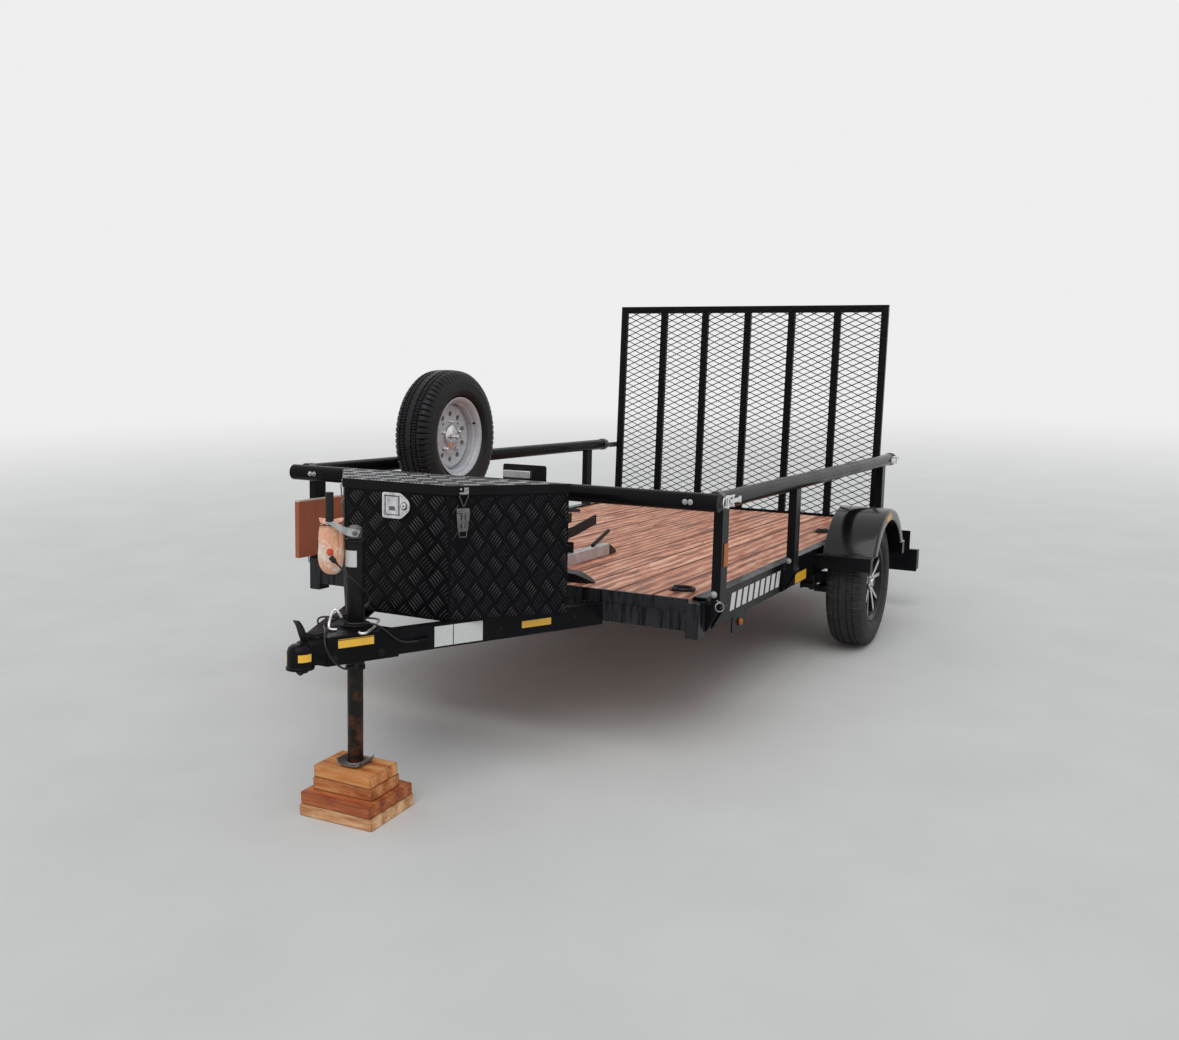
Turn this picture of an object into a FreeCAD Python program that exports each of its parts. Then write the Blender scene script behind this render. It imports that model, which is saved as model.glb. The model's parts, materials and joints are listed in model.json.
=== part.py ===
import FreeCAD, Part
import Sketcher
import math
import os
import re

# Utility trailer, millimetres. X runs across, the tongue points to -Y, Z is up.
# Pieces are drawn with the deck level and the tyres on Z = 0; the park placement then lifts the nose
# so that the jack foot stands on its blocks, and puts the origin under the middle of the trailer.

os.makedirs("parts", exist_ok=True)
doc = FreeCAD.newDocument("utility_trailer")

# name, value in millimetres, degrees for angles
SIZES = [
    ("deck_height", 465), ("board_width", 139), ("board_gap", 2), ("board_thick", 38),
    ("board_length", 2662), ("board_count", 11), ("deck_start", 4), ("deck_edge", 2.5),
    ("beam_wide", 46), ("beam_wall", 5), ("beam_drop", 108), ("rim_rise", 6), ("rim_clear", 1),
    ("header_deep", 44), ("header_lip", 8), ("header_drop", 101), ("corner_drop", 126),
    ("corner_lower", 6), ("cross_high", 63), ("cross_wide", 40), ("cross_count", 5),
    ("cross_margin", 20),
    ("tongue_spread", 470), ("tongue_angle", 25), ("channel_high", 76), ("channel_wide", 40),
    ("channel_wall", 6), ("channel_top_gap", 38), ("channel_front_y", -930),
    ("coupler_front_y", -945), ("coupler_back_y", -735), ("coupler_wall", 5), ("neck_half", 33),
    ("neck_high", 58), ("socket_y", -1012), ("socket_radius", 41), ("socket_high", 62),
    ("ball_radius", 25.4), ("ball_below", 78), ("latch_long", 76), ("latch_wide", 28),
    ("latch_thick", 8), ("latch_lean", 22), ("latch_back", 20), ("seat_gap", 0.3),
    ("jack_y", -766), ("jack_tube_radius", 28), ("jack_tube_wall", 3), ("jack_tube_bottom", 295),
    ("jack_tube_top", 690), ("jack_head_radius", 24), ("jack_head_high", 50),
    ("jack_flange_wide", 22), ("jack_leg_radius", 24), ("jack_leg_top", 430), ("jack_leg_wall", 4),
    ("foot_size", 92), ("foot_thick", 5), ("foot_bottom", -5), ("foot_floor", 12),
    ("crank_z", 720), ("crank_face", 38.7), ("crank_hub_radius", 18.5), ("crank_hub_long", 20),
    ("crank_boss_radius", 15), ("crank_reach", 73), ("crank_climb", 25), ("crank_arm_wide", 22),
    ("crank_arm_thick", 8), ("crank_grip_low", 30), ("crank_grip_high", 92),
    ("crank_grip_radius", 12.5),
    ("bag_half_wide", 38), ("bag_half_deep", 28), ("bag_low", 588), ("bag_high", 764),
    ("bag_out", 69.5),
    ("block_thick", 38), ("block_upper_x", 227), ("block_upper_y", 143),
    ("block_lower_x", 275), ("block_lower_y", 222),
    ("rail_radius", 30), ("rail_out", 34), ("rail_above_deck", 336),
    ("rail_front_y", -28), ("rail_front_over", 24), ("rail_past", 11), ("rail_cap", 5),
    ("clamp_wall", 3), ("clamp_long", 34), ("clamp_front_y", 6), ("clamp_back", 49),
    ("post_wide", 32), ("post_long", 60), ("post_first_y", 73), ("post_mid_y", 915),
    ("post_last_back", 215), ("post_foot_below", 14),
    ("bracket_shelf", 22), ("bracket_toe", 6), ("bracket_plate", 4), ("bracket_bottom", 108),
    ("gate_inset", 34), ("gate_top_above", 1156), ("gate_out", 24), ("gate_lean", 2),
    ("gate_bar", 38), ("gate_thick", 22), ("gate_bars", 7), ("gate_bottom_below", 28),
    ("gate_pin_radius", 6), ("gate_pin_below", 44), ("gate_pin_inset", 100), ("lug_radius", 10),
    ("lug_thick", 8), ("lug_gap", 1), ("ear_thick", 18), ("pin_clear", 0.08), ("mesh_long", 77),
    ("mesh_short", 35), ("mesh_strand", 4), ("mesh_layer", 2.5), ("mesh_border", 12),
    ("axle_y", 1690), ("axle_size", 50), ("axle_over", 26), ("spindle_radius", 16),
    ("spindle_long", 130),
    ("spring_length", 620), ("spring_width", 45), ("spring_in", 22), ("leaf_thick", 9),
    ("leaves", 3), ("leaf_rise", 40), ("leaf_eye_radius", 15), ("hanger_high", 62),
    ("hanger_thick", 8), ("hanger_bolt", 6), ("hanger_half", 24), ("side_gap", 1),
    ("tyre_radius", 295), ("tyre_width", 175), ("tyre_bore", 163), ("wheel_out", 123.5),
    ("rim_radius", 177), ("rim_wall", 7), ("rim_lip", 9), ("bead_half", 64), ("spoke_depth", 34),
    ("spoke_width", 20), ("spokes", 5), ("hub_radius", 44), ("hub_length", 90),
    ("fender_radius", 335), ("fender_offset_y", 15), ("fender_centre_z", 302),
    ("fender_gap", 26), ("fender_wide", 230), ("fender_skin", 3), ("fender_skirt", 55),
    ("fender_flange_below", 16), ("fender_flange_long", 50), ("fender_arm_wide", 40),
    ("fender_arm_high", 58), ("fender_arm_in", 10), ("fender_arm_short", 6),
    ("lamp_back", 266), ("lamp_high", 112), ("lamp_wide", 115), ("lamp_below", 105),
    ("lamp_tab_high", 95), ("lamp_tab_wide", 46), ("lamp_tab_in", 40), ("lamp_reach", 251),
    ("lamp_deep", 70), ("lamp_plate", 5), ("lamp_root_long", 30), ("lamp_root_up", 60),
    ("box_front_y", -562), ("box_back_y", -257), ("box_front_half", 203), ("box_back_half", 457),
    ("box_high", 424), ("box_wall", 4), ("lid_skirt", 26), ("lid_clear", 3), ("lid_thick", 3),
    ("hinge_radius", 5), ("hinge_run", 80), ("hinge_share", 180), ("lock_wide", 96),
    ("lock_high", 74), ("lock_x", 4), ("lock_below", 72), ("lock_thick", 7), ("draw_from_corner", 42),
    ("draw_wide", 38), ("draw_high", 150), ("draw_thick", 14), ("draw_below", 12),
    ("spare_y", 760), ("spare_above", 455), ("spare_inset", 240), ("carrier_plate", 8),
    ("carrier_half", 60), ("carrier_tube", 25), ("spare_disc_at", 20), ("spare_disc_thick", 6),
    ("spare_holes", 8), ("spare_hole_radius", 20), ("spare_hole_ring", 108), ("spare_cap", 36),
    ("panel_inset", 2), ("panel_thick", 22), ("panel_high", 226), ("panel_front_y", -92),
    ("panel_long", 530),
    ("ring_radius", 36), ("ring_rod", 5), ("ring_inset", 78), ("ring_front_y", 150),
    ("ring_back_y", 1980), ("ring_seat", 16),
    ("chock_x", 98), ("chock_front_y", 110), ("chock_back_y", 736), ("chock_high", 48),
    ("chock_wide", 32), ("chock_end", 84), ("foot_bar_half", 340), ("foot_bar_wide", 70),
    ("foot_bar_high", 34), ("gusset_reach", 220), ("gusset_thick", 6),
    ("cradle_front_y", 400), ("cradle_back_y", 790), ("cradle_gap", 110), ("cradle_over", 100),
    ("cradle_thick", 6), ("cradle_low", 86), ("cradle_high", 172), ("stay_thick", 8),
    ("marker_y", 395), ("marker_radius", 12), ("marker_out", 13), ("marker_long", 150),
    ("marker_high", 60),
    ("cord_thick", 6), ("plug_thick", 16), ("hook_thick", 8), ("anchor_run", 690),
    ("anchor_radius", 9), ("anchor_up", 37), ("anchor_out", 18), ("ferrule_thick", 10),
    ("ferrule_long", 26), ("ferrule_off", 14), ("ferrule_gap", 14), ("clip_y", -846),
    ("clip_wide", 16), ("clip_long", 18), ("clip_drop", 28),
]
VALUE = dict(SIZES)

# What follows from other sizes; each may use those above it
FORMULAS = {
    "beam_inner": "board_count * (board_width + board_gap) / 2 + deck_edge",
    "beam_outer": "beam_inner + beam_wide",
    "deck_end": "board_length + deck_start",
    "rail_half": "beam_outer + rail_out",
    "rail_z": "deck_height + rail_above_deck",
    "rail_front_half": "rail_half + rail_front_over",
    "bracket_out": "rail_half + bracket_shelf",
    "rail_end_y": "deck_end + rail_past",
    "clamp_rear_y": "rail_end_y - clamp_back",
    "post_last_y": "deck_end - post_last_back",
    "lamp_y": "deck_end - lamp_back",
    "gate_y": "deck_end + gate_out",
    "gate_half": "beam_outer - gate_inset",
    "gate_pin_x": "gate_half - gate_pin_inset",
    "pin_z": "deck_height - gate_pin_below",
    "spring_x": "beam_inner + spring_in",
    "tyre_centre_x": "beam_outer + wheel_out",
    "axle_half": "beam_outer + axle_over",
    "fender_inner": "beam_outer + fender_gap",
    "fender_outer": "fender_inner + fender_wide",
    "lamp_outer": "beam_outer + lamp_reach",
    "spare_x": "spare_inset - rail_half - tyre_width / 2",
    "panel_x": "panel_inset - beam_outer",
    "ring_x": "beam_inner - ring_inset",
    "tongue_start": "-2 * header_lip",
    "channel_top": "deck_height - channel_top_gap",
    "channel_low": "channel_top - channel_high",
    "anchor_z": "channel_low + anchor_up",
    "coupler_top": "channel_top + seat_gap + coupler_wall",
    "coupler_low": "channel_low - coupler_wall",
    "ball_z": "deck_height - ball_below",
    "neck_top": "ball_z + neck_high * 2 / 3",
    "box_top": "channel_top + box_high",
    "on_deck": "deck_height + seat_gap",
}


def park(size):
    """Nose-up angle and shift that set the foot on its blocks with the tyres on the floor."""
    reach = size["axle_y"] - size["jack_y"]
    drop = size["tyre_radius"] - size["foot_bottom"]
    lift = size["tyre_radius"] - 4 * size["block_thick"]
    angle = math.atan2(drop, reach) - math.asin(lift / math.hypot(reach, drop))
    turned_y = size["axle_y"] * math.cos(angle) + size["tyre_radius"] * math.sin(angle)
    turned_z = size["tyre_radius"] * math.cos(angle) - size["axle_y"] * math.sin(angle)
    return math.degrees(angle), -turned_y, size["tyre_radius"] - turned_z


SIZES += list(zip(("park_angle", "park_y", "park_z"), park(VALUE)))
VALUE = dict(SIZES)
NOSE_UP = FreeCAD.Rotation(FreeCAD.Vector(-1, 0, 0), VALUE["park_angle"])
NAMES = sorted(VALUE, key=len, reverse=True)

sheet = doc.addObject("Spreadsheet::Sheet", "Sizes")
for row, (alias, number) in enumerate(SIZES, start=1):
    sheet.set("A%d" % row, alias)
    sheet.set("B%d" % row, str(number))
    sheet.setAlias("B%d" % row, alias)
doc.recompute()


def bound(text):
    """Write out what follows from other sizes, then give each size its sheet."""
    text = str(text)
    for name, formula in reversed(list(FORMULAS.items())):
        text = re.sub(r"\b%s\b" % name, "(%s)" % formula, text)
    return re.sub(r"\b(%s)\b" % "|".join(NAMES), r"Sizes.\1", text)


def bind(item, prop, text):
    item.setExpression(prop, bound(text))


def place(item, x="0", y="0", z="0"):
    for axis, text in zip("xyz", (x, y, z)):
        bind(item, "Placement.Base." + axis, text)
    return item


def spin(item, axis, angle):
    """Turn an item about an axis by a named angle."""
    value = VALUE[angle] if angle in VALUE else angle
    item.Placement = FreeCAD.Placement(FreeCAD.Vector(), FreeCAD.Rotation(FreeCAD.Vector(*axis), value))
    if angle in VALUE:
        bind(item, "Placement.Rotation.Angle", angle)
    return item


def block(name, x, y, z):
    """A box from three pairs of expressions: low and high along each axis."""
    item = doc.addObject("Part::Box", name)
    for prop, (low, high) in zip(("Length", "Width", "Height"), (x, y, z)):
        bind(item, prop, "(%s) - (%s)" % (high, low))
    return place(item, x[0], y[0], z[0])


TURN = {
    "X": FreeCAD.Rotation(FreeCAD.Vector(0, 1, 0), 90),
    "Y": FreeCAD.Rotation(FreeCAD.Vector(1, 0, 0), -90),
    "Z": FreeCAD.Rotation(),
}


def rod(name, axis, radius, length, x="0", y="0", z="0"):
    """A cylinder that starts at x, y, z and runs along +axis."""
    item = doc.addObject("Part::Cylinder", name)
    bind(item, "Radius", radius)
    bind(item, "Height", length)
    item.Placement = FreeCAD.Placement(FreeCAD.Vector(), TURN[axis])
    return place(item, x, y, z)


def fuse(name, items):
    item = doc.addObject("Part::MultiFuse", name)
    item.Shapes = items
    return item


def cut(name, base, tool):
    item = doc.addObject("Part::Cut", name)
    item.Base = base
    item.Tool = tool
    return item


def common(name, base, tool):
    item = doc.addObject("Part::Common", name)
    item.Base = base
    item.Tool = tool
    return item


def gather(name, items):
    """Solids that do not touch, kept as one piece."""
    item = doc.addObject("Part::Compound", name)
    item.Links = items
    return item


def mirrored(name, source):
    """The same piece on the other side of the middle plane."""
    item = doc.addObject("Part::Mirroring", name)
    item.Source = source
    item.Base = FreeCAD.Vector(0, 0, 0)
    item.Normal = FreeCAD.Vector(1, 0, 0)
    return item


def pair(name, item):
    return gather(name + "_pair", [item, mirrored(name + "_far", item)])


def wedge(name, y, x_low, x_high, z_low, z_high):
    """A block whose X and Z spans change from its first Y to its second."""
    item = doc.addObject("Part::Wedge", name)
    spans = {
        "Xmin": x_low[0], "Xmax": x_high[0], "X2min": x_low[1], "X2max": x_high[1],
        "Zmin": z_low[0], "Zmax": z_high[0], "Z2min": z_low[1], "Z2max": z_high[1],
        "Ymin": y[0], "Ymax": y[1],
    }
    for prop, text in spans.items():
        bind(item, prop, text)
    return item


def tube(name, thick, points):
    """A tube along straight runs, each corner a tangent arc as large as its two runs allow."""
    corners = [FreeCAD.Vector(*point) for point in points]
    here = corners[0]
    edges = []
    tightest = 1000
    for before, corner, after in zip(corners, corners[1:], corners[2:]):
        inward = corner - before
        onward = after - corner
        half_turn = inward.getAngle(onward) / 2
        share = 0.45 * min(inward.Length, onward.Length)
        radius = share / math.tan(half_turn)
        tightest = min(tightest, radius)
        inward.normalize()
        onward.normalize()
        middle_way = (onward - inward).normalize()
        start = corner - inward * share
        end = corner + onward * share
        crest = corner + middle_way * (radius / math.cos(half_turn) - radius)
        edges.append(Part.LineSegment(here, start).toShape())
        edges.append(Part.Arc(start, crest, end).toShape())
        here = end
    edges.append(Part.LineSegment(here, corners[-1]).toShape())
    path = Part.Wire(edges)
    ring = Part.Circle(corners[0], corners[1] - corners[0], VALUE[thick] / 2).toShape()
    item = doc.addObject("Part::Feature", name)
    item.Shape = path.makePipeShell([Part.Wire(ring)], True, False)
    section = math.pi * VALUE[thick] ** 2 / 4
    drift = item.Shape.Volume / (section * path.Length) - 1
    if abs(drift) > 0.01:
        raise RuntimeError("%s does not fill its path: %.4f" % (name, drift))
    print(name, "length", round(path.Length), "smallest radius", round(tightest, 1))
    return item


PIECES = {}


def piece(label, item):
    """Stand a finished piece as the trailer parks; its label is also its file's name."""
    stood = gather(label, [item])
    stood.Label = label
    bind(stood, "Placement.Base.y", "park_y")
    bind(stood, "Placement.Base.z", "park_z")
    stood.Placement = FreeCAD.Placement(stood.Placement.Base, NOSE_UP)
    bind(stood, "Placement.Rotation.Angle", "park_angle")
    PIECES[label] = stood
    return item


# Frame
beam_top = "deck_height + rim_rise"
beam_low = "deck_height - beam_drop"
under_boards = "deck_height - board_thick"
side_solid = block("side_beam_solid", ("beam_inner", "beam_outer"), ("header_deep", "board_length"),
                   (beam_low, beam_top))
side_hollow = block("side_beam_groove", ("beam_inner + beam_wall", "beam_outer - beam_wall"),
                    ("header_deep - 1", "board_length + 1"),
                    (beam_low + " - 1", beam_top + " - beam_wall"))
piece("side_beams", pair("side_beam", cut("side_beam_channel", side_solid, side_hollow)))

# The front beam is a tall strip at the boards' ends over a deeper strip with a small lip
front_parts = [
    block("front_upper", ("-beam_inner", "beam_inner"), ("-header_lip", "deck_start - rim_clear"),
          (under_boards, beam_top)),
    block("front_lower", ("-beam_inner", "beam_inner"), ("tongue_start", "deck_start - rim_clear"),
          ("deck_height - header_drop", under_boards))]
corner = block("front_corner", ("beam_inner", "beam_outer"), ("tongue_start", "header_deep"),
               ("deck_height - corner_drop", "deck_height - corner_lower"))
piece("front_beam", fuse("front_beam_all", front_parts + [corner, mirrored("front_corner_far", corner)]))

rear_parts = [block("rear_beam_box", ("-beam_inner", "beam_inner"), ("deck_end - cross_wide", "deck_end"),
                    ("deck_height - header_drop", under_boards))]
half_ear = "ear_thick / 2 + lug_gap"
for name, low in (("left_inner", "gate_pin_x - (%s) - lug_thick" % half_ear),
                  ("left_outer", "gate_pin_x + (%s)" % half_ear),
                  ("right_inner", "-gate_pin_x + (%s)" % half_ear),
                  ("right_outer", "-gate_pin_x - (%s) - lug_thick" % half_ear)):
    rear_parts.append(rod("hinge_lug_" + name, "X", "lug_radius", "lug_thick", low, "gate_y", "pin_z"))
    rear_parts.append(block("hinge_arm_" + name, (low, low + " + lug_thick"), ("deck_end - 2", "gate_y"),
                            ("pin_z - lug_radius", "pin_z + lug_radius * 0.6")))
pin_reach = "ear_thick / 2 + lug_gap + lug_thick + lug_gap"
lug_holes = []
for name, side in (("left", ""), ("right", "-")):
    lug_holes.append(rod("hinge_hole_" + name, "X", "gate_pin_radius + pin_clear",
                         "2 * (%s) + 2" % pin_reach, side + "gate_pin_x - (%s) - 1" % pin_reach,
                         "gate_y", "pin_z"))
piece("rear_beam", cut("rear_beam_all", fuse("rear_beam_solid", rear_parts),
                       fuse("hinge_holes", lug_holes)))

cross_pitch = "(board_length - 2 * cross_wide - 2 * cross_margin) / (cross_count + 1)"
cross_members = []
for number in range(1, VALUE["cross_count"] + 1):
    low = "deck_start + cross_margin + %d * (%s)" % (number, cross_pitch)
    cross_members.append(block("cross_member_%d" % number, ("-beam_inner", "beam_inner"),
                               (low, low + " + cross_wide"),
                               (under_boards + " - cross_high", under_boards)))
piece("cross_members", gather("cross_member_set", cross_members))

# Deck
boards = []
for number in range(VALUE["board_count"]):
    low = "(%d - board_count / 2) * (board_width + board_gap) + board_gap / 2" % number
    boards.append(block("deck_board_%d" % (number + 1), (low, low + " + board_width"),
                        ("deck_start", "deck_end"), (under_boards, "deck_height")))
piece("deck_boards", gather("deck_board_set", boards))

# Tongue: two channels, open inward, that meet at the coupler
channel_run = "(tongue_start - channel_front_y + 74) / cos(tongue_angle)"
channel_parts = []
for name, x, z in (("web", ("-channel_wall", "0"), ("0", "channel_high")),
                   ("low", ("-channel_wide", "0"), ("0", "channel_wall")),
                   ("top", ("-channel_wide", "0"), ("channel_high - channel_wall", "channel_high"))):
    channel_parts.append(block("channel_" + name, x, ("-(%s)" % channel_run, "80"), z))
channel = spin(fuse("channel_bar", channel_parts), (0, 0, -1), "tongue_angle")
place(channel, "tongue_spread", "tongue_start", "channel_low")
channel_room = block("channel_room", ("3", "tongue_spread + 60"), ("channel_front_y", "tongue_start"),
                     ("channel_low - 1", "channel_top + 1"))
piece("tongue_channels", pair("tongue_channel", common("tongue_channel", channel, channel_room)))


def tongue_side(y):
    """Distance from the middle plane to a channel's outer face."""
    return "(tongue_spread + tan(tongue_angle) * (%s - (tongue_start)))" % y


# Coupler: a folded wedge over the channels, a neck and a cup for the tow ball
grow = "coupler_wall / cos(tongue_angle)"
skirt = [tongue_side(y) + " + seat_gap / cos(tongue_angle)" for y in ("coupler_front_y", "coupler_back_y")]
outside = ["%s + %s" % (half, grow) for half in skirt]
shell = wedge("coupler_outer", ("coupler_front_y", "coupler_back_y"),
              ["-(%s)" % half for half in outside], outside, ("coupler_low",) * 2, ("coupler_top",) * 2)
slope = "tan(tongue_angle) * %s"
hollow = wedge("coupler_inner", ("coupler_front_y + coupler_wall", "coupler_back_y + 1"),
               ["-(%s + %s)" % (skirt[0], slope % "coupler_wall"), "-(%s + %s)" % (skirt[1], slope % "1")],
               ["%s + %s" % (skirt[0], slope % "coupler_wall"), "%s + %s" % (skirt[1], slope % "1")],
               ("coupler_low - 1",) * 2, ("coupler_top - coupler_wall",) * 2)
jack_hole = rod("jack_hole", "Z", "jack_tube_radius + seat_gap", "300", "0", "jack_y", "coupler_low")
plates = cut("coupler_plates", cut("coupler_shell", shell, hollow), jack_hole)
neck = block("coupler_neck", ("-neck_half", "neck_half"), ("socket_y", "coupler_front_y + 1"),
             ("neck_top - neck_high", "neck_top"))
cup = rod("coupler_cup", "Z", "socket_radius", "socket_high", "0", "socket_y", "ball_z - socket_high / 2")
ball = doc.addObject("Part::Sphere", "ball_room")
bind(ball, "Radius", "ball_radius")
place(ball, "0", "socket_y", "ball_z")
mouth = rod("ball_mouth", "Z", "ball_radius", "socket_high", "0", "socket_y", "ball_z - socket_high")
nose = cut("coupler_nose_open", fuse("coupler_nose", [neck, cup]), fuse("ball_space", [ball, mouth]))
piece("coupler", fuse("coupler_all", [plates, nose]))

lever = block("latch_lever", ("-latch_wide / 2", "latch_wide / 2"), ("-latch_thick / 2", "latch_thick / 2"),
              ("0", "latch_long"))
leaning = spin(gather("latch_leaning", [lever]), (1, 0, 0), "latch_lean")
place(leaning, "0", "socket_y + latch_back", "neck_top + seat_gap + sin(latch_lean) * latch_thick / 2")
piece("coupler_latch", leaning)

# Jack
jack_shell = rod("jack_outside", "Z", "jack_tube_radius", "jack_tube_top - jack_tube_bottom",
                 "0", "jack_y", "jack_tube_bottom")
jack_bore = rod("jack_bore", "Z", "jack_tube_radius - jack_tube_wall",
                "jack_tube_top - jack_tube_bottom - jack_tube_wall", "0", "jack_y",
                "jack_tube_bottom - 1")
flange = rod("jack_flange", "Z", "jack_tube_radius + jack_flange_wide", "coupler_wall", "0", "jack_y",
             "coupler_top")
flange_hole = rod("jack_flange_hole", "Z", "jack_tube_radius - 1", "40", "0", "jack_y", "coupler_top - 10")
head = rod("jack_head", "Z", "jack_head_radius", "jack_head_high + 1", "0", "jack_y", "jack_tube_top - 1")
crank_boss = rod("crank_boss", "Y", "crank_boss_radius", "jack_head_radius", "0", "-jack_head_radius", "0")
boss = spin(gather("crank_boss_turned", [crank_boss]), (0, 0, 1), "crank_face")
place(boss, "0", "jack_y", "crank_z")
piece("jack_tube", fuse("jack_tube_all", [cut("jack_tube_shell", jack_shell, jack_bore),
                                          cut("jack_flange_ring", flange, flange_hole), head, boss]))

leg = rod("jack_leg_solid", "Z", "jack_leg_radius", "jack_leg_top - foot_bottom - 3", "0", "jack_y",
          "foot_bottom + 3")
leg_bore = rod("jack_leg_bore", "Z", "jack_leg_radius - jack_leg_wall", "jack_leg_top", "0", "jack_y",
               "foot_bottom + foot_floor")
foot_parts = [block("foot_plate", ("-foot_size / 2", "foot_size / 2"), ("-foot_size / 2", "foot_size / 2"),
                    ("0", "foot_thick"))]
for name, low, high in (("front", "-foot_size / 2", "-foot_size / 2 + foot_thick"),
                        ("back", "foot_size / 2 - foot_thick", "foot_size / 2")):
    foot_parts.append(block("foot_lip_" + name, ("-foot_size / 2", "foot_size / 2"), (low, high),
                            ("0", "foot_thick * 3")))
foot = place(spin(fuse("jack_foot", foot_parts), (1, 0, 0), "park_angle"), "0", "jack_y", "foot_bottom")
piece("jack_leg", fuse("jack_leg_all", [cut("jack_leg_tube", leg, leg_bore), foot]))

# The crank faces the near side: a hub, an arm that climbs and an upright grip
hub_front = "-jack_head_radius - seat_gap - crank_hub_long"
crank_hub = rod("crank_hub", "Y", "crank_hub_radius", "crank_hub_long", "0", hub_front)
arm = block("crank_arm", ("-crank_reach / cos(crank_climb) - 6", "0"), ("0", "crank_arm_thick"),
            ("-crank_arm_wide / 2", "crank_arm_wide / 2"))
arm_up = place(spin(gather("crank_arm_up", [arm]), (0, 1, 0), "crank_climb"), "0", hub_front)
grip = rod("crank_grip", "Z", "crank_grip_radius", "crank_grip_high", "-crank_reach",
           hub_front + " + crank_arm_thick / 2", "crank_grip_low")
crank = spin(fuse("crank_all", [crank_hub, arm_up, grip]), (0, 0, 1), "crank_face")
piece("jack_crank", place(crank, "0", "jack_y", "crank_z"))

# A thin bag that hangs behind the crank's grip and keeps the plug dry
bag_ring = doc.addObject("Part::Ellipse", "bag_outline")
bind(bag_ring, "MajorRadius", "bag_half_wide")
bind(bag_ring, "MinorRadius", "bag_half_deep")
bag = doc.addObject("Part::Extrusion", "bag_solid")
bag.Base = bag_ring
bag.DirMode = "Custom"
bag.Dir = FreeCAD.Vector(0, 0, 1)
bag.Solid = True
bind(bag, "LengthFwd", "bag_high - bag_low")
bag_back = ("bag_half_deep + seat_gap - jack_head_radius - seat_gap - crank_hub_long"
            " + crank_arm_thick / 2 + crank_grip_radius")
place(bag, "-bag_out", bag_back)
turned_bag = spin(gather("bag_turned", [bag]), (0, 0, 1), "crank_face")
piece("plug_bag", place(turned_bag, "0", "jack_y", "bag_low"))

# Wooden blocks under the jack foot, level on the floor
stack = []
for number, size in enumerate(("lower", "lower", "upper", "upper")):
    half_x = "block_%s_x / 2" % size
    half_y = "block_%s_y / 2" % size
    stack.append(block("stack_board_%d" % (number + 1), ("-" + half_x, half_x), ("-" + half_y, half_y),
                       ("(%d - 4) * block_thick" % number, "(%d - 3) * block_thick" % number)))
blocks = spin(fuse("block_stack_all", stack), (1, 0, 0), "park_angle")
piece("block_stack", place(blocks, "0", "jack_y", "foot_bottom"))

# Rails and posts
rail_tube = rod("front_rail_tube", "X", "rail_radius", "2 * rail_front_half", "-rail_front_half",
                "rail_front_y", "rail_z")
rail_plugs = [rod("front_rail_cap", "X", "rail_radius", "rail_cap", "rail_front_half", "rail_front_y",
                  "rail_z"),
              rod("front_rail_cap_far", "X", "rail_radius", "rail_cap", "-rail_front_half - rail_cap",
                  "rail_front_y", "rail_z")]
piece("rail_front", fuse("front_rail_all", [rail_tube] + rail_plugs))
side_start = "rail_front_y + rail_radius + seat_gap"
side_rail = rod("side_rail_tube", "Y", "rail_radius", "rail_end_y - (%s)" % side_start, "rail_half",
                side_start, "rail_z")
piece("side_rails", pair("side_rail", side_rail))

rail_room = rod("rail_room", "Y", "rail_radius + seat_gap", "rail_end_y + 600", "rail_half", "-500",
                "rail_z")
clamps = []
for name in ("front", "rear"):
    start = "clamp_%s_y" % name
    clamps.append(cut("rail_clamp_" + name,
                      rod("clamp_band_" + name, "Y", "rail_radius + seat_gap + clamp_wall", "clamp_long",
                          "rail_half", start, "rail_z"), rail_room))
latch_parts = [block("gate_latch_plate", ("gate_half + 5", "gate_half + 11"),
                     ("rail_end_y - 60", "gate_y + 40"), ("rail_z - 14", "rail_z + 14")),
               block("gate_latch_foot", ("gate_half + 5", "rail_half"),
                     ("rail_end_y - 58", "rail_end_y - 24"), ("rail_z - 10", "rail_z + 10"))]
clamps[1] = fuse("rail_clamp_rear_all", [cut("gate_latch_cut", fuse("gate_latch", latch_parts), rail_room),
                                         clamps[1]])
piece("rail_clamps", pair("rail_clamp", gather("rail_clamp_set", clamps)))

shelf_top = "deck_height - post_foot_below"
posts = []
for name in ("first", "mid", "last"):
    centre = "post_%s_y" % name
    span = (centre + " - post_long / 2", centre + " + post_long / 2")
    bar = block("post_%s_bar" % name, ("rail_half - post_wide / 2", "rail_half + post_wide / 2"), span,
                (shelf_top, "rail_z"))
    fin = doc.addObject("Part::Wedge", "bracket_fin_" + name)
    spans = {"Ymin": "0", "Ymax": "bracket_bottom - post_foot_below - bracket_plate",
             "Xmin": "-bracket_toe", "Xmax": "0",
             "X2min": "beam_outer - bracket_out", "X2max": "0",
             "Zmin": "0", "Zmax": "post_long", "Z2min": "0", "Z2max": "post_long"}
    for prop, text in spans.items():
        bind(fin, prop, text)
    fin.Placement = FreeCAD.Placement(FreeCAD.Vector(),
                                      FreeCAD.Rotation(FreeCAD.Vector(0, 1, 1), 180))
    place(fin, "beam_outer", span[0], "deck_height - bracket_bottom")
    fin_room = block("bracket_room_" + name, ("beam_outer + bracket_plate", "bracket_out + 30"),
                     (span[0] + " + bracket_plate", span[1] + " - bracket_plate"),
                     ("deck_height - bracket_bottom - 1", shelf_top + " - bracket_plate - 8"))
    shelf = block("bracket_shelf_" + name, ("beam_outer", "bracket_out"), span,
                  (shelf_top + " - bracket_plate", shelf_top))
    posts.append(fuse("post_" + name, [cut("post_cut_" + name, bar, rail_room),
                                       cut("bracket_fins_" + name, fin, fin_room), shelf]))
piece("posts", pair("post", gather("post_set", posts)))

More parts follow.
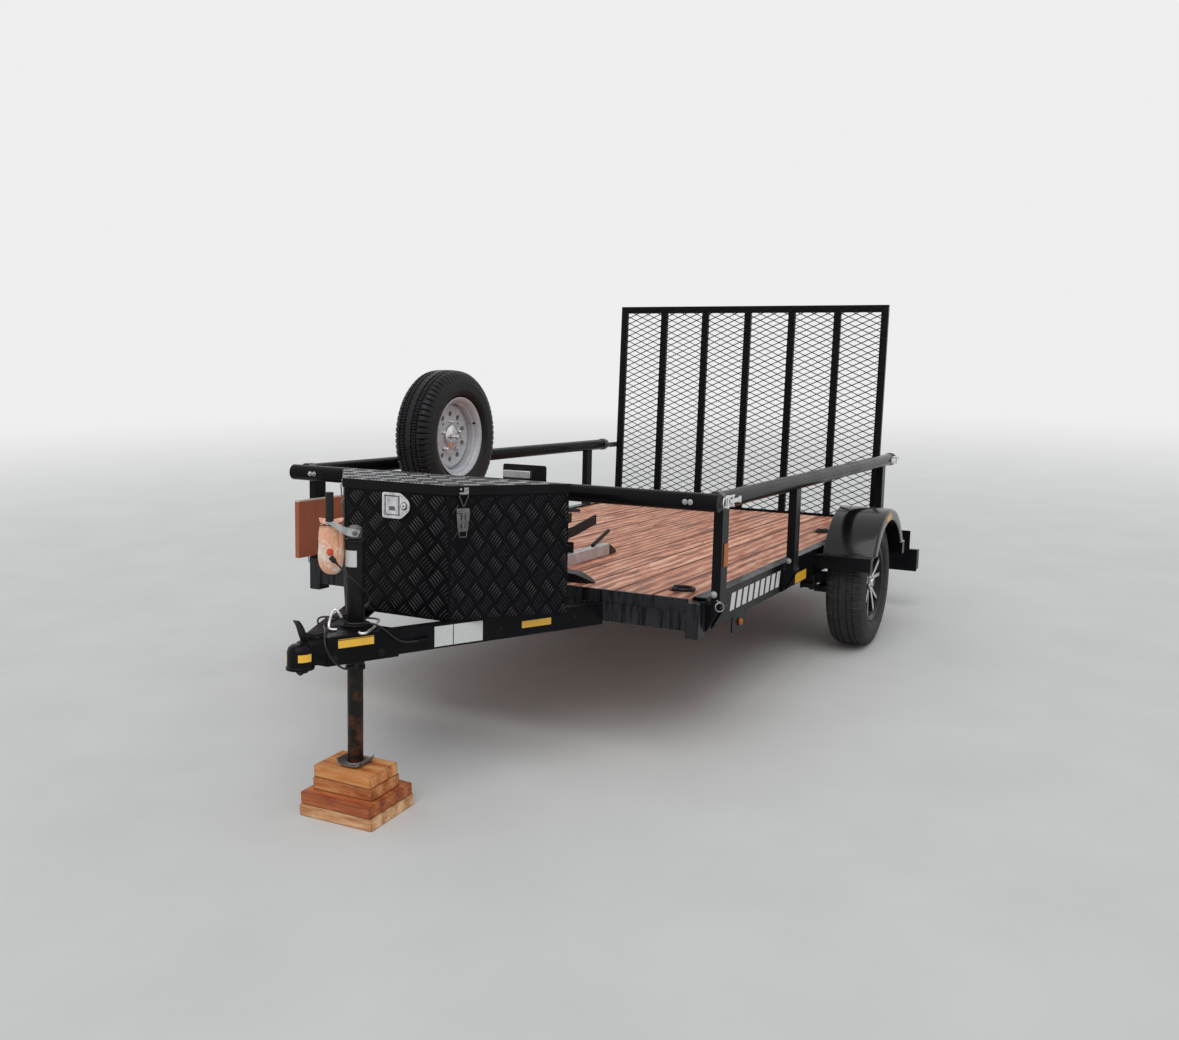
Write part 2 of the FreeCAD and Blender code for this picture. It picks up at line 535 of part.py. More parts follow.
# Gate, drawn upright about its hinge line and then leant back
gate_low = "gate_pin_below - gate_bottom_below"
gate_high = "gate_top_above + gate_pin_below"
gate_parts = []
for number in range(VALUE["gate_bars"]):
    low = "-gate_half + %d * (2 * gate_half - gate_bar) / (gate_bars - 1)" % number
    gate_parts.append(block("gate_bar_%d" % (number + 1), (low, low + " + gate_bar"), ("0", "gate_thick"),
                            (gate_low, gate_high)))
for name, low, high in (("sill", gate_low, gate_low + " + gate_bar"),
                        ("head", gate_high + " - gate_bar", gate_high)):
    gate_parts.append(block("gate_" + name, ("-gate_half", "gate_half"), ("0", "gate_thick"), (low, high)))
for name, side in (("left", ""), ("right", "-")):
    gate_parts.append(rod("gate_pin_" + name, "X", "gate_pin_radius", "2 * (%s)" % pin_reach,
                          side + "gate_pin_x - (%s)" % pin_reach))
    gate_parts.append(block("gate_ear_" + name, (side + "gate_pin_x - ear_thick / 2",
                                                 side + "gate_pin_x + ear_thick / 2"),
                            ("-gate_pin_radius", "gate_thick - 4"), ("-gate_pin_radius", gate_low + " + 2")))


def lean_back(item):
    return place(spin(item, (-1, 0, 0), "gate_lean"), "0", "gate_y", "pin_z")


piece("gate_frame", lean_back(fuse("gate_frame_all", gate_parts)))


def mesh_strands(name, slope, layer, bordered):
    """One family of parallel mesh strands on the deck side of the gate's bars, in a thin border or loose."""
    size = VALUE
    deck_half = size["board_count"] * (size["board_width"] + size["board_gap"]) / 2 + size["deck_edge"]
    half = deck_half + size["beam_wide"] - size["gate_inset"] - 4
    low = size["gate_pin_below"] - size["gate_bottom_below"] + 4
    high = size["gate_top_above"] + size["gate_pin_below"] - 4
    angle = math.degrees(math.atan2(size["mesh_short"], size["mesh_long"]))
    reach = 2 * half / math.cos(math.radians(angle)) + 100
    deep = size["mesh_layer"] - 0.5
    window = Part.makeBox(2 * half, deep, high - low, FreeCAD.Vector(-half, layer, low))
    rise = half * size["mesh_short"] / size["mesh_long"]
    strands = []
    z = low - rise
    while z < high + rise:
        strand = Part.makeBox(reach, deep, size["mesh_strand"],
                              FreeCAD.Vector(-reach / 2, layer, -size["mesh_strand"] / 2))
        strand.rotate(FreeCAD.Vector(), FreeCAD.Vector(0, 1, 0), slope * angle)
        strand.translate(FreeCAD.Vector(0, 0, z))
        strands += [solid for solid in strand.common(window).Solids if solid.Volume > 200]
        z += size["mesh_short"]
    item = doc.addObject("Part::Feature", name)
    item.Shape = Part.makeCompound(strands)
    if bordered:
        edge = size["mesh_border"]
        inner = Part.makeBox(2 * (half - edge), deep + 2, high - low - 2 * edge,
                             FreeCAD.Vector(edge - half, layer - 1, low + edge))
        item.Shape = window.cut(inner).multiFuse(strands)
    return item


mesh_layers = (("gate_mesh_rising", -1, 0.5 - VALUE["mesh_layer"], True),
               ("gate_mesh_falling", 1, 0.5 - 2 * VALUE["mesh_layer"], False))
for label, slope_sign, layer, bordered in mesh_layers:
    piece(label, lean_back(mesh_strands(label + "_strands", slope_sign, layer, bordered)))

# Running gear
spindle = rod("axle_spindle", "X", "spindle_radius", "spindle_long", "axle_half - 20", "axle_y",
              "tyre_radius")
axle_bar = block("axle_beam_bar", ("-axle_half", "axle_half"),
                 ("axle_y - axle_size / 2", "axle_y + axle_size / 2"),
                 ("tyre_radius - axle_size / 2", "tyre_radius + axle_size / 2"))
piece("axle_beam", fuse("axle_all", [axle_bar, spindle, mirrored("axle_spindle_far", spindle)]))

spring_top = "tyre_radius - axle_size / 2 - seat_gap"
leaf_low = spring_top + " - leaves * leaf_thick"
leaf_bend = "(spring_length^2 / 4 + leaf_rise^2) / (2 * leaf_rise)"
leaf_span = ("spring_x - spring_width / 2", "spring_x + spring_width / 2")
eye_z = spring_top + " + leaf_rise"
leaf_parts = []
for number, share in enumerate((1, 0.7, 0.42)):
    radius = "%s + %d * leaf_thick" % (leaf_bend, number)
    ring = cut("leaf_ring_%d" % number,
               rod("leaf_outside_%d" % number, "X", radius + " + leaf_thick", "spring_width",
                   leaf_span[0], "axle_y", "%s + %s" % (spring_top, leaf_bend)),
               rod("leaf_inside_%d" % number, "X", radius, "spring_width + 2", leaf_span[0] + " - 1",
                   "axle_y", "%s + %s" % (spring_top, leaf_bend)))
    reach = "spring_length * %s / 2" % share
    leaf_parts.append(common("leaf_%d" % number, ring,
                             block("leaf_span_%d" % number,
                                   ("spring_x - spring_width", "spring_x + spring_width"),
                                   ("axle_y - " + reach, "axle_y + " + reach),
                                   (leaf_low + " - 5", leaf_low + " + 150"))))
leaf_parts.append(block("axle_saddle", leaf_span, ("axle_y - 55", "axle_y + 55"),
                        (leaf_low + " - 8", leaf_low + " + 2")))
eye_bores = []
for name, sign in (("front", "-"), ("back", "+")):
    eye_y = "axle_y %s spring_length / 2" % sign
    leaf_parts.append(rod("leaf_eye_" + name, "X", "leaf_eye_radius", "spring_width", leaf_span[0],
                          eye_y, eye_z))
    eye_bores.append(rod("leaf_bore_" + name, "X", "hanger_bolt + pin_clear", "spring_width + 10",
                         leaf_span[0] + " - 5", eye_y, eye_z))
spring = cut("leaf_spring", fuse("leaf_spring_solid", leaf_parts), fuse("leaf_bores", eye_bores))
piece("leaf_springs", pair("leaf_spring", spring))

hangers = []
for name, sign in (("front", "-"), ("back", "+")):
    eye_y = "axle_y %s spring_length / 2" % sign
    along = (eye_y + " - hanger_half", eye_y + " + hanger_half")
    cheeks = [block("hanger_top_" + name, (leaf_span[0] + " - 2", leaf_span[1] + " + 2"), along,
                    (beam_low + " - hanger_thick", beam_low)),
              rod("hanger_bolt_" + name, "X", "hanger_bolt", "spring_width + 2 * hanger_thick + 14",
                  leaf_span[0] + " - hanger_thick - 7", eye_y, eye_z)]
    for side, low in (("in", leaf_span[0] + " - hanger_thick - side_gap"),
                      ("out", leaf_span[1] + " + side_gap")):
        cheeks.append(block("hanger_%s_%s" % (name, side), (low, low + " + hanger_thick"), along,
                            (beam_low + " - hanger_high", beam_low)))
    hangers.append(fuse("hanger_" + name, cheeks))
piece("spring_hangers", pair("spring_hanger", gather("hanger_set", hangers)))


# Wheels: profiles turned about the sketch's horizontal axis
def turned(name, corners):
    """A body revolved from a closed outline of (along the axle, outward) expressions."""
    body = doc.addObject("PartDesign::Body", name)
    plane = [item for item in body.Origin.OriginFeatures if item.Role == "XY_Plane"][0]
    sketch = body.newObject("Sketcher::SketchObject", name + "_outline")
    sketch.AttachmentSupport = [(plane, "")]
    sketch.MapMode = "FlatFace"
    count = len(corners)
    rough = []
    for number in range(count):
        way = 2 * math.pi * number / count
        rough.append(FreeCAD.Vector(10 * math.cos(way), 200 + 10 * math.sin(way), 0))
    for number in range(count):
        sketch.addGeometry(Part.LineSegment(rough[number], rough[(number + 1) % count]), False)
    for number in range(count):
        sketch.addConstraint(Sketcher.Constraint("Coincident", number, 2, (number + 1) % count, 1))
    for number, (along, outward) in enumerate(corners):
        first = sketch.addConstraint(Sketcher.Constraint("DistanceX", -1, 1, number, 1, 10))
        second = sketch.addConstraint(Sketcher.Constraint("DistanceY", -1, 1, number, 1, 200))
        sketch.setExpression("Constraints[%d]" % first, bound(along))
        sketch.setExpression("Constraints[%d]" % second, bound(outward))
    turn = body.newObject("PartDesign::Revolution", name + "_turn")
    turn.Profile = sketch
    turn.ReferenceAxis = (sketch, ["H_Axis"])
    turn.Angle = 360
    return body


half_width = "tyre_width / 2"
tyre_side = (("bead_half", "tyre_bore"), ("bead_half", "rim_radius + 2"),
             (half_width + " - 5", "rim_radius + 16"), (half_width, "rim_radius + 50"),
             (half_width + " - 4", "tyre_radius - 42"), (half_width + " - 12", "tyre_radius - 18"),
             (half_width + " - 27", "tyre_radius - 5"), (half_width + " - 48", "tyre_radius"))
tyre_corners = tyre_side + tuple(("-(%s)" % along, outward) for along, outward in reversed(tyre_side))
rim_side = (("bead_half + seat_gap", "tyre_bore - seat_gap"), ("bead_half + seat_gap", "rim_radius"),
            ("bead_half + rim_lip", "rim_radius"), ("bead_half + rim_lip", "tyre_bore - rim_wall - 4"))
rim_corners = rim_side + tuple(("-(%s)" % along, outward) for along, outward in reversed(rim_side))
tyre = place(turned("tyre_ring", tyre_corners), "tyre_centre_x", "axle_y", "tyre_radius")
piece("tyre_left", tyre)
piece("tyre_right", mirrored("tyre_far", tyre))

barrel = turned("rim_barrel", rim_corners)
face_x = "bead_half - spoke_depth"
wheel_hub = rod("hub_solid", "X", "hub_radius", "hub_length", "bead_half - hub_length")
spoke_root = VALUE["hub_radius"] - 14
spokes = []
for number in range(VALUE["spokes"] * 2):
    lean = 360 / VALUE["spokes"] * (number // 2) + (14 if number % 2 else -14)
    spoke = block("spoke_%d" % (number + 1), (face_x, "bead_half"), ("-spoke_width / 2", "spoke_width / 2"),
                  ("hub_radius - 14", "tyre_bore - rim_wall"))
    spokes.append(spin(gather("spoke_turned_%d" % (number + 1), [spoke]), (1, 0, 0), lean))
hub_bore = rod("hub_bore", "X", "spindle_radius + pin_clear", "hub_length - 22",
               "bead_half - hub_length - 1")
wheel = cut("wheel_bored", fuse("wheel_solid", [barrel, wheel_hub] + spokes), hub_bore)
place(wheel, "tyre_centre_x", "axle_y", "tyre_radius")
piece("wheel_left", wheel)
piece("wheel_right", mirrored("wheel_far", wheel))

# Fenders on arms from the side beams
fender_y = "axle_y + fender_offset_y"
flange_z = "deck_height - fender_flange_below"
half_chord = "sqrt(fender_radius^2 - (%s - fender_centre_z)^2)" % flange_z
arch = rod("fender_outside", "X", "fender_radius", "fender_wide", "fender_inner", fender_y,
           "fender_centre_z")
under = rod("fender_under", "X", "fender_radius - fender_skin", "fender_wide - fender_skin + 1",
            "fender_inner - 1", fender_y, "fender_centre_z")
opening = rod("fender_opening", "X", "fender_radius - fender_skirt", "fender_wide + 2", "fender_inner - 1",
              fender_y, "fender_centre_z")
below = block("fender_below", ("fender_inner - 5", "fender_outer + 5"),
              (fender_y + " - fender_radius - 5", fender_y + " + fender_radius + 5"),
              ("fender_centre_z - fender_radius - 5", flange_z))
flanges = []
arms = []
for name, sign in (("front", "-"), ("back", "+")):
    edge = "%s %s %s" % (fender_y, sign, half_chord)
    far = "%s %s fender_flange_long" % (edge, sign)
    near = "%s %s -fender_skin" % (edge, sign)
    arm_near = "%s %s fender_arm_in" % (edge, sign)
    arm_far = "%s %s (fender_arm_in + fender_arm_wide)" % (edge, sign)
    swap = -1 if sign == "-" else 1
    flanges.append(block("fender_flange_" + name, ("fender_inner", "fender_outer"), (near, far)[::swap],
                         (flange_z, flange_z + " + fender_skin")))
    arms.append(block("fender_arm_" + name, ("beam_outer", "fender_outer - fender_arm_short"),
                      (arm_near, arm_far)[::swap], (flange_z + " - fender_arm_high", flange_z)))
hoop = cut("fender_arch", cut("fender_skin_cut", cut("fender_shell", arch, under), opening), below)
piece("fenders", pair("fender", fuse("fender_all", [hoop] + flanges)))
piece("fender_arms", pair("fender_arm", gather("fender_arm_set", arms)))

# Tail lamps on their brackets, each with a tab that stands over it
lamp_top = "deck_height - lamp_below"
lamp_low = lamp_top + " - lamp_high"
lamp_span = ("lamp_y", "lamp_y + lamp_plate")
tab_far = "lamp_outer - lamp_tab_in"
lamp = fuse("tail_lamp", [
    block("lamp_stem", ("beam_outer", "lamp_outer"), lamp_span, (lamp_low, lamp_top)),
    block("lamp_root", ("beam_outer", "beam_outer + lamp_plate"), ("lamp_y - lamp_root_long", lamp_span[1]),
          (lamp_low, beam_low + " + lamp_root_up")),
    block("lamp_box", ("lamp_outer - lamp_wide", "lamp_outer - 4"),
          (lamp_span[1], lamp_span[1] + " + lamp_deep"), (lamp_low + " + 6", lamp_top + " - 6")),
    block("lamp_tab", (tab_far + " - lamp_tab_wide", tab_far), lamp_span,
          (lamp_top + " - 2", lamp_top + " + lamp_tab_high"))])
piece("tail_lamps", pair("tail_lamp", lamp))

# Tool box on the tongue
case = wedge("box_outside", ("box_front_y", "box_back_y"), ("-box_front_half", "-box_back_half"),
             ("box_front_half", "box_back_half"), ("channel_top",) * 2, ("box_top",) * 2)
case_room = wedge("box_inside", ("box_front_y + box_wall", "box_back_y - box_wall"),
                  ("box_wall - box_front_half", "2 * box_wall - box_back_half"),
                  ("box_front_half - box_wall", "box_back_half - 2 * box_wall"),
                  ("channel_top + box_wall",) * 2, ("box_top + 5",) * 2)
hinge_y = "box_back_y + lid_clear + lid_thick"
hinge_z = "box_top + seat_gap"
case_barrels = []
lid_barrels = []
lid_slots = []
for side, share in (("right", "-hinge_share"), ("left", "hinge_share")):
    ends = (share + " - hinge_run / 2", share + " + hinge_run / 2")
    case_barrels.append(rod("case_barrel_" + side, "X", "hinge_radius", "hinge_run", ends[0], hinge_y,
                            hinge_z))
    case_barrels.append(block("case_leaf_" + side, ends, ("box_back_y - 1", hinge_y),
                              (hinge_z + " - hinge_radius - 20", hinge_z + " - 2")))
    lid_slots.append(block("lid_slot_" + side, (ends[0] + " - 1", ends[1] + " + 1"),
                           (hinge_y + " - hinge_radius - 1", hinge_y + " + hinge_radius + 1"),
                           (hinge_z + " - 10", hinge_z + " + 12")))
    for end, low in (("low", ends[0] + " - 1 - hinge_run / 2"), ("high", ends[1] + " + 1")):
        lid_barrels.append(rod("lid_barrel_%s_%s" % (side, end), "X", "hinge_radius", "hinge_run / 2",
                               low, hinge_y, hinge_z))
piece("tool_box", fuse("tool_box_all", [cut("tool_box_open", case, case_room)] + case_barrels))

lid_low = "box_top - lid_skirt"
lid_floor = "box_top + seat_gap"
over = "lid_clear + lid_thick"
lid_outside = wedge("lid_outside", ("box_front_y - (%s)" % over, "box_back_y + %s" % over),
                    ("-box_front_half - (%s)" % over, "-box_back_half - (%s)" % over),
                    ("box_front_half + %s" % over, "box_back_half + %s" % over),
                    (lid_low,) * 2, (lid_floor + " + lid_thick",) * 2)
lid_room = wedge("lid_room", ("box_front_y - lid_clear", "box_back_y + lid_clear"),
                 ("-box_front_half - lid_clear", "-box_back_half - lid_clear"),
                 ("box_front_half + lid_clear", "box_back_half + lid_clear"),
                 (lid_low + " - 5",) * 2, (lid_floor,) * 2)
lid_back = block("lid_back_open", ("-box_back_half - 20", "box_back_half + 20"),
                 ("box_back_y + lid_clear - 1", "box_back_y + 30"), (lid_low + " - 5", lid_floor))
lid_tray = cut("lid_tray", cut("lid_shell", lid_outside, lid_room), lid_back)
piece("tool_box_lid", cut("lid_all", fuse("lid_hinged", [lid_tray] + lid_barrels),
                          fuse("lid_slots", lid_slots)))

paddle = block("lock_paddle", ("lock_x - lock_wide / 2", "lock_x + lock_wide / 2"),
               ("box_front_y - lock_thick", "box_front_y"),
               ("box_top - lock_below - lock_high / 2", "box_top - lock_below + lock_high / 2"))
draw = gather("draw_latch_turned", [block("draw_latch", ("0", "draw_thick"),
                                          ("draw_from_corner - draw_wide / 2",
                                           "draw_from_corner + draw_wide / 2"), ("-draw_high", "0"))])
side_angle = math.degrees(math.atan((VALUE["box_back_half"] - VALUE["box_front_half"])
                                    / (VALUE["box_back_y"] - VALUE["box_front_y"])))
spin(draw, (0, 0, -1), side_angle)
bind(draw, "Placement.Rotation.Angle",
     "atan((box_back_half - box_front_half) / (box_back_y - box_front_y))")
place(draw, "box_front_half", "box_front_y", lid_low + " - draw_below")
piece("box_locks", gather("box_lock_set", [paddle, pair("draw_latch", draw)]))

# Spare wheel and its carrier
spare_z = "deck_height + spare_above"
piece("spare_tyre", place(turned("spare_tyre_ring", tyre_corners), "spare_x", "spare_y", spare_z))
disc = rod("spare_disc", "X", "tyre_bore - rim_wall", "spare_disc_thick", "spare_disc_at")
holes = []
for number in range(VALUE["spare_holes"]):
    way = 2 * math.pi * number / VALUE["spare_holes"]
    holes.append(rod("spare_hole_%d" % (number + 1), "X", "spare_hole_radius", "spare_disc_thick + 10",
                     "spare_disc_at - 5", "%.5f * spare_hole_ring" % math.cos(way),
                     "%.5f * spare_hole_ring" % math.sin(way)))
dome = rod("spare_cap", "X", "spare_cap", "bead_half - spare_disc_at - 10", "spare_disc_at")
spare_rim = fuse("spare_rim_all", [cut("spare_disc_holed", disc, fuse("spare_holes", holes)), dome,
                                   turned("spare_rim_barrel", rim_corners)])
piece("spare_rim", place(spare_rim, "spare_x", "spare_y", spare_z))
around_y = ("spare_y - carrier_tube", "spare_y + carrier_tube")
piece("spare_carrier", fuse("carrier_all", [
    block("carrier_plate_flat", ("spare_x + spare_disc_at - carrier_plate", "spare_x + spare_disc_at"),
          ("spare_y - carrier_half", "spare_y + carrier_half"),
          (spare_z + " - carrier_half", spare_z + " + carrier_half")),
    block("carrier_arm", ("10 - rail_half", "spare_x + spare_disc_at - 2"), around_y,
          (spare_z + " - carrier_tube", spare_z + " + carrier_tube")),
    block("carrier_stem", ("-22 - rail_half", "22 - rail_half"), around_y,
          ("rail_z + rail_radius", spare_z + " + carrier_tube"))]))

# Loose board on the far beam inside the posts, tie rings and side markers
piece("side_panel", block("side_panel_board", ("panel_x - panel_thick / 2", "panel_x + panel_thick / 2"),
                          ("panel_front_y", "panel_front_y + panel_long"),
                          (beam_top + " + seat_gap", beam_top + " + panel_high")))
rings = []
for name, y in (("front", "ring_front_y"), ("back", "ring_back_y")):
    ring = doc.addObject("Part::Torus", "tie_ring_" + name)
    bind(ring, "Radius1", "ring_radius")
    bind(ring, "Radius2", "ring_rod")
    place(ring, "ring_x", y, "on_deck + ring_rod + 4")
    seat = block("tie_seat_" + name, ("ring_x - ring_radius - 8", "ring_x - ring_radius + 8"),
                 (y + " - ring_seat", y + " + ring_seat"), ("on_deck", "deck_height + ring_rod * 2"))
    rings.append(fuse("tie_point_" + name, [ring, seat]))
piece("tie_rings", pair("tie_ring", gather("tie_set", rings)))
marker_top = beam_low
marker = fuse("marker_all", [
    block("marker_plate", ("beam_outer - beam_wall + 1", "beam_outer"),
          ("marker_y - marker_long / 2", "marker_y + marker_long / 2"),
          (marker_top + " - marker_high", marker_top)),
    rod("marker_lamp", "X", "marker_radius", "marker_out + 1", "beam_outer - 1", "marker_y",
        marker_top + " - marker_high / 2")])
piece("side_markers", pair("marker", marker))

# Wheel stand on the deck: two bars with pointed ends, a cross foot and a cradle on two stays
bar_top = "on_deck + chock_high"
bar_x = ("chock_x", "chock_x + chock_wide")
foot_span = ("chock_front_y - foot_bar_wide / 2", "chock_front_y + foot_bar_wide / 2")
stand_side = fuse("chock_side", [
    block("chock_bar", bar_x, ("chock_front_y", "chock_back_y"), ("on_deck", bar_top)),
    wedge("chock_point", ("chock_back_y", "chock_back_y + chock_end"),
          (bar_x[0], "chock_x + chock_wide * 0.3"), (bar_x[1], "chock_x + chock_wide * 0.7"),
          ("on_deck",) * 2, (bar_top, "on_deck + chock_high / 6")),
    wedge("chock_gusset", (foot_span[0], foot_span[1] + " + gusset_reach"), ("chock_x",) * 2,
          ("foot_bar_half", bar_x[1] + " + gusset_thick"), ("on_deck",) * 2,
          ("on_deck + gusset_thick",) * 2),
    rod("chock_foot_end", "Z", "foot_bar_wide / 2", "foot_bar_high", "foot_bar_half", "chock_front_y",
        "on_deck")])
foot_bar = block("chock_foot_bar", ("-foot_bar_half", "foot_bar_half"), foot_span,
                 ("on_deck", "on_deck + foot_bar_high"))
piece("chock_base", fuse("chock_base_all", [foot_bar, stand_side,
                                            mirrored("chock_side_far", stand_side)]))

cradle_z = ("deck_height + cradle_low", "deck_height + cradle_high")
cradle_side = block("cradle_side", ("cradle_gap / 2", "cradle_gap / 2 + cradle_thick"),
                    ("cradle_front_y", "cradle_back_y"), cradle_z)
cradle_parts = [cradle_side, mirrored("cradle_side_far", cradle_side),
                block("cradle_floor", ("-cradle_gap / 2", "cradle_gap / 2"),
                      ("cradle_front_y", "cradle_back_y"), (cradle_z[0], cradle_z[0] + " + cradle_thick"))]
for name, start in (("front", "cradle_front_y + cradle_thick"), ("back", "cradle_back_y - cradle_over")):
    cradle_parts.append(block("cradle_stay_" + name, ("-chock_x - chock_wide", "chock_x + chock_wide"),
                              (start, start + " + stay_thick"),
                              (bar_top + " + seat_gap", cradle_z[0] + " + cradle_thick")))
piece("chock_cradle", fuse("cradle_all", cradle_parts))

# Safety cable anchors on the channels and the clip that holds the lead under the left one
anchor_parts = [
    rod("anchor_bolt", "X", "anchor_radius", "anchor_out", "0"),
    block("anchor_link", ("ferrule_off - 4", "ferrule_off + 4"), ("-ferrule_gap - 2", "0"), ("-5", "5")),
    rod("anchor_ferrule", "Y", "ferrule_thick / 2", "ferrule_long", "ferrule_off",
        "-ferrule_gap - ferrule_long")]
anchor = spin(fuse("anchor_all", anchor_parts), (0, 0, -1), "tongue_angle")
place(anchor, "tongue_spread - sin(tongue_angle) * anchor_run",
      "tongue_start - cos(tongue_angle) * anchor_run", "anchor_z")
piece("cable_anchors", pair("cable_anchor", anchor))
clip_x = "%s - channel_wide / 2 / cos(tongue_angle)" % tongue_side("clip_y")
piece("lead_clip", block("lead_clip_block", (clip_x + " - clip_wide / 2", clip_x + " + clip_wide / 2"),
                         ("clip_y - clip_long / 2", "clip_y + clip_long / 2"),
                         ("channel_low - clip_drop", "channel_low")))

# Free cords, from where each is held to its far end
CORDS = {
    "plug_lead": [
        (60.9, -855, 330), (61, -876, 330), (67, -897, 333), (73, -916, 341), (72, -936, 354),
        (69, -954, 372), (65, -969, 394), (56, -972, 418), (43, -957, 438), (27, -935, 447),
        (3, -908, 448), (-24, -882, 447), (-41, -847, 446), (-50, -812, 446), (-53, -781, 448),
        (-50, -752, 456), (-31, -728, 466), (-3, -717, 478), (23, -727, 494), (41, -748, 516),
        (47.5, -774, 540), (42, -799, 563), (27, -818.5, 587), (7.9, -830.2, 610),
        (-11.8, -834.4, 628)],
    "safety_cable_left": [
        (174.18, -683.53, 388), (161.5, -710.72, 388), (150.5, -738, 394), (141, -764, 411),
        (131, -786, 434), (110, -800, 452), (79, -804, 454), (47, -813, 450), (25, -828, 449),
        (10, -838, 462), (2, -842, 480)],
    "safety_cable_right": [
        (-174.18, -683.53, 388), (-161.5, -710.72, 388), (-150.5, -738, 394), (-141, -764, 411),
        (-131, -786, 434), (-109, -796, 450), (-82, -776, 449), (-54, -741, 444), (-22, -713, 443),
        (14, -704, 443), (42, -711, 445), (58, -726, 446), (66, -740, 446)],
}
for label, points in CORDS.items():
    piece(label, tube(label + "_run", "cord_thick", points))
hook_left = [CORDS["safety_cable_left"][-1], (-2, -844, 489), (-9, -848, 494), (-15, -853, 484),
             (-18, -857, 470), (-20, -861, 455), (-17, -868, 443), (-8, -873, 438), (3, -871, 437),
             (8, -862, 437)]
hook_right = [CORDS["safety_cable_right"][-1], (71, -748.75, 446), (78, -765, 441.5),
              (86, -787, 437.4), (94, -811, 436.9), (102, -834, 436.9), (108, -850, 436.9),
              (105, -862, 436.9), (95, -865, 436.9), (88, -856, 436.9)]
piece("cable_hooks", gather("cable_hook_set", [tube("cable_hook_left", "hook_thick", hook_left),
                                               tube("cable_hook_right", "hook_thick", hook_right)]))
plug_tip = FreeCAD.Vector(-32.2, -838.75, 646.64)
plug_start = FreeCAD.Vector(*CORDS["plug_lead"][-1])
plug = doc.addObject("Part::Feature", "lead_plug_body")
plug.Shape = Part.makeCylinder(VALUE["plug_thick"] / 2, (plug_tip - plug_start).Length, plug_start,
                               plug_tip - plug_start)
piece("lead_plug", plug)

# The origin lies under the middle of the length that the finished pieces span
doc.recompute()
ends = [PIECES[label].Shape.BoundBox for label in PIECES]
middle = (min(box.YMin for box in ends) + max(box.YMax for box in ends)) / 2
row = [alias for alias, number in SIZES].index("park_y") + 1
sheet.set("B%d" % row, str(VALUE["park_y"] - middle))
doc.recompute()

for item in doc.Objects:
    if "Invalid" in item.State or "Error" in item.State:
        raise RuntimeError("%s did not compute: %s" % (item.Name, item.State))
for label, item in PIECES.items():
    if item.Shape.isNull() or not item.Shape.isValid() or not item.Shape.Solids:
        raise RuntimeError(label + " has no valid solid")
for label, item in PIECES.items():
    item.Shape.exportStep("parts/%s.step" % label)
low = min(item.Shape.BoundBox.ZMin for item in PIECES.values())
print("park_y", round(VALUE["park_y"] - middle, 6))
print("pieces", len(PIECES), "park angle", round(VALUE["park_angle"], 3), "lowest", round(low, 3))
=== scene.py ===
import json
import math
import random

import bmesh
import bpy
from mathutils import Matrix, Vector, noise


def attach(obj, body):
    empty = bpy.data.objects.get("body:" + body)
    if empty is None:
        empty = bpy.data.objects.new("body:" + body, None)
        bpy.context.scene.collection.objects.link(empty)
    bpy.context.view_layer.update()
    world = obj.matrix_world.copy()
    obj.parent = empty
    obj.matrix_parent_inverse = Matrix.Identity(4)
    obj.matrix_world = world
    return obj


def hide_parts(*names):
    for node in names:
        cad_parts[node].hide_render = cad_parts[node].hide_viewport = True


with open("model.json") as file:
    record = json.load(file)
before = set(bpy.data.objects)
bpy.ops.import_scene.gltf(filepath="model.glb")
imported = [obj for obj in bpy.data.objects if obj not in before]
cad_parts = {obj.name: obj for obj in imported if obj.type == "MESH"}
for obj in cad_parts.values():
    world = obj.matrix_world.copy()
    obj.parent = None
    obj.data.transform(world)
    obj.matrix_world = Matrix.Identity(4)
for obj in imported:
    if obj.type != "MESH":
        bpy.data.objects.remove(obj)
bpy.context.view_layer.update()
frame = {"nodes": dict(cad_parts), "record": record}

# Level frame in millimetres: X across, the tongue to -Y, tyres on Z = 0. PARK stands it nose-up in metres.
MOUNTS = {mount["name"]: mount for mount in frame["record"]["mounts"]}
DECK_AXIS = MOUNTS["deck"]["axis"]
NOSE_UP = math.atan2(DECK_AXIS[1], DECK_AXIS[2])
LIFT = Matrix.Rotation(-NOSE_UP, 4, "X")
DECK_POINT = Vector((564, 1300, 465)) / 1000
PARK = Matrix.Translation(Vector(MOUNTS["deck"]["pos_m"]) - LIFT @ DECK_POINT) @ LIFT @ Matrix.Scale(0.001, 4)

DECK = 465
BEAM_OUTER = 824
RAIL_X, RAIL_Z = 858, 801
AXLE_Y, TYRE_R, WHEEL_X, WHEEL_TURN = 1690, 295, 947.5, 0.35
GATE_Y, PIN_Z, GATE_LEAN = 2690, 421, -2
CHANNEL_TOP = 427
COUPLER_TOP = 432.3
BOX_FRONT, BOX_BACK, BOX_F, BOX_B, BOX_TOP = -562, -257, 203, 457, 851
SPARE_X, SPARE_Y, SPARE_Z = -705.5, 760, 920
JACK_Y = -766
TONGUE = math.radians(25)


def add_node(tree, kind, inputs=(), **settings):
    """A shader node with its settings, and its inputs linked or set."""
    item = tree.nodes.new("ShaderNode" + kind)
    for key, value in settings.items():
        setattr(item, key, value)
    for key, value in dict(inputs).items():
        if isinstance(value, bpy.types.NodeSocket):
            tree.links.new(value, item.inputs[key])
        else:
            item.inputs[key].default_value = value
    return item


def add_object(name, data):
    """An object of its own in the scene."""
    item = bpy.data.objects.new(name, data)
    bpy.context.scene.collection.objects.link(item)
    return item


def both(side, low, high):
    """A span on the side that its sign names."""
    return tuple(sorted((side * low, side * high)))


def turns(count, more=0):
    """Angles that share out a full turn."""
    return [2 * math.pi * number / count for number in range(count + more)]


def polar(radius, degrees, z=0):
    """A point at an angle about Z."""
    way = math.radians(degrees)
    return Vector((radius * math.cos(way), radius * math.sin(way), z))


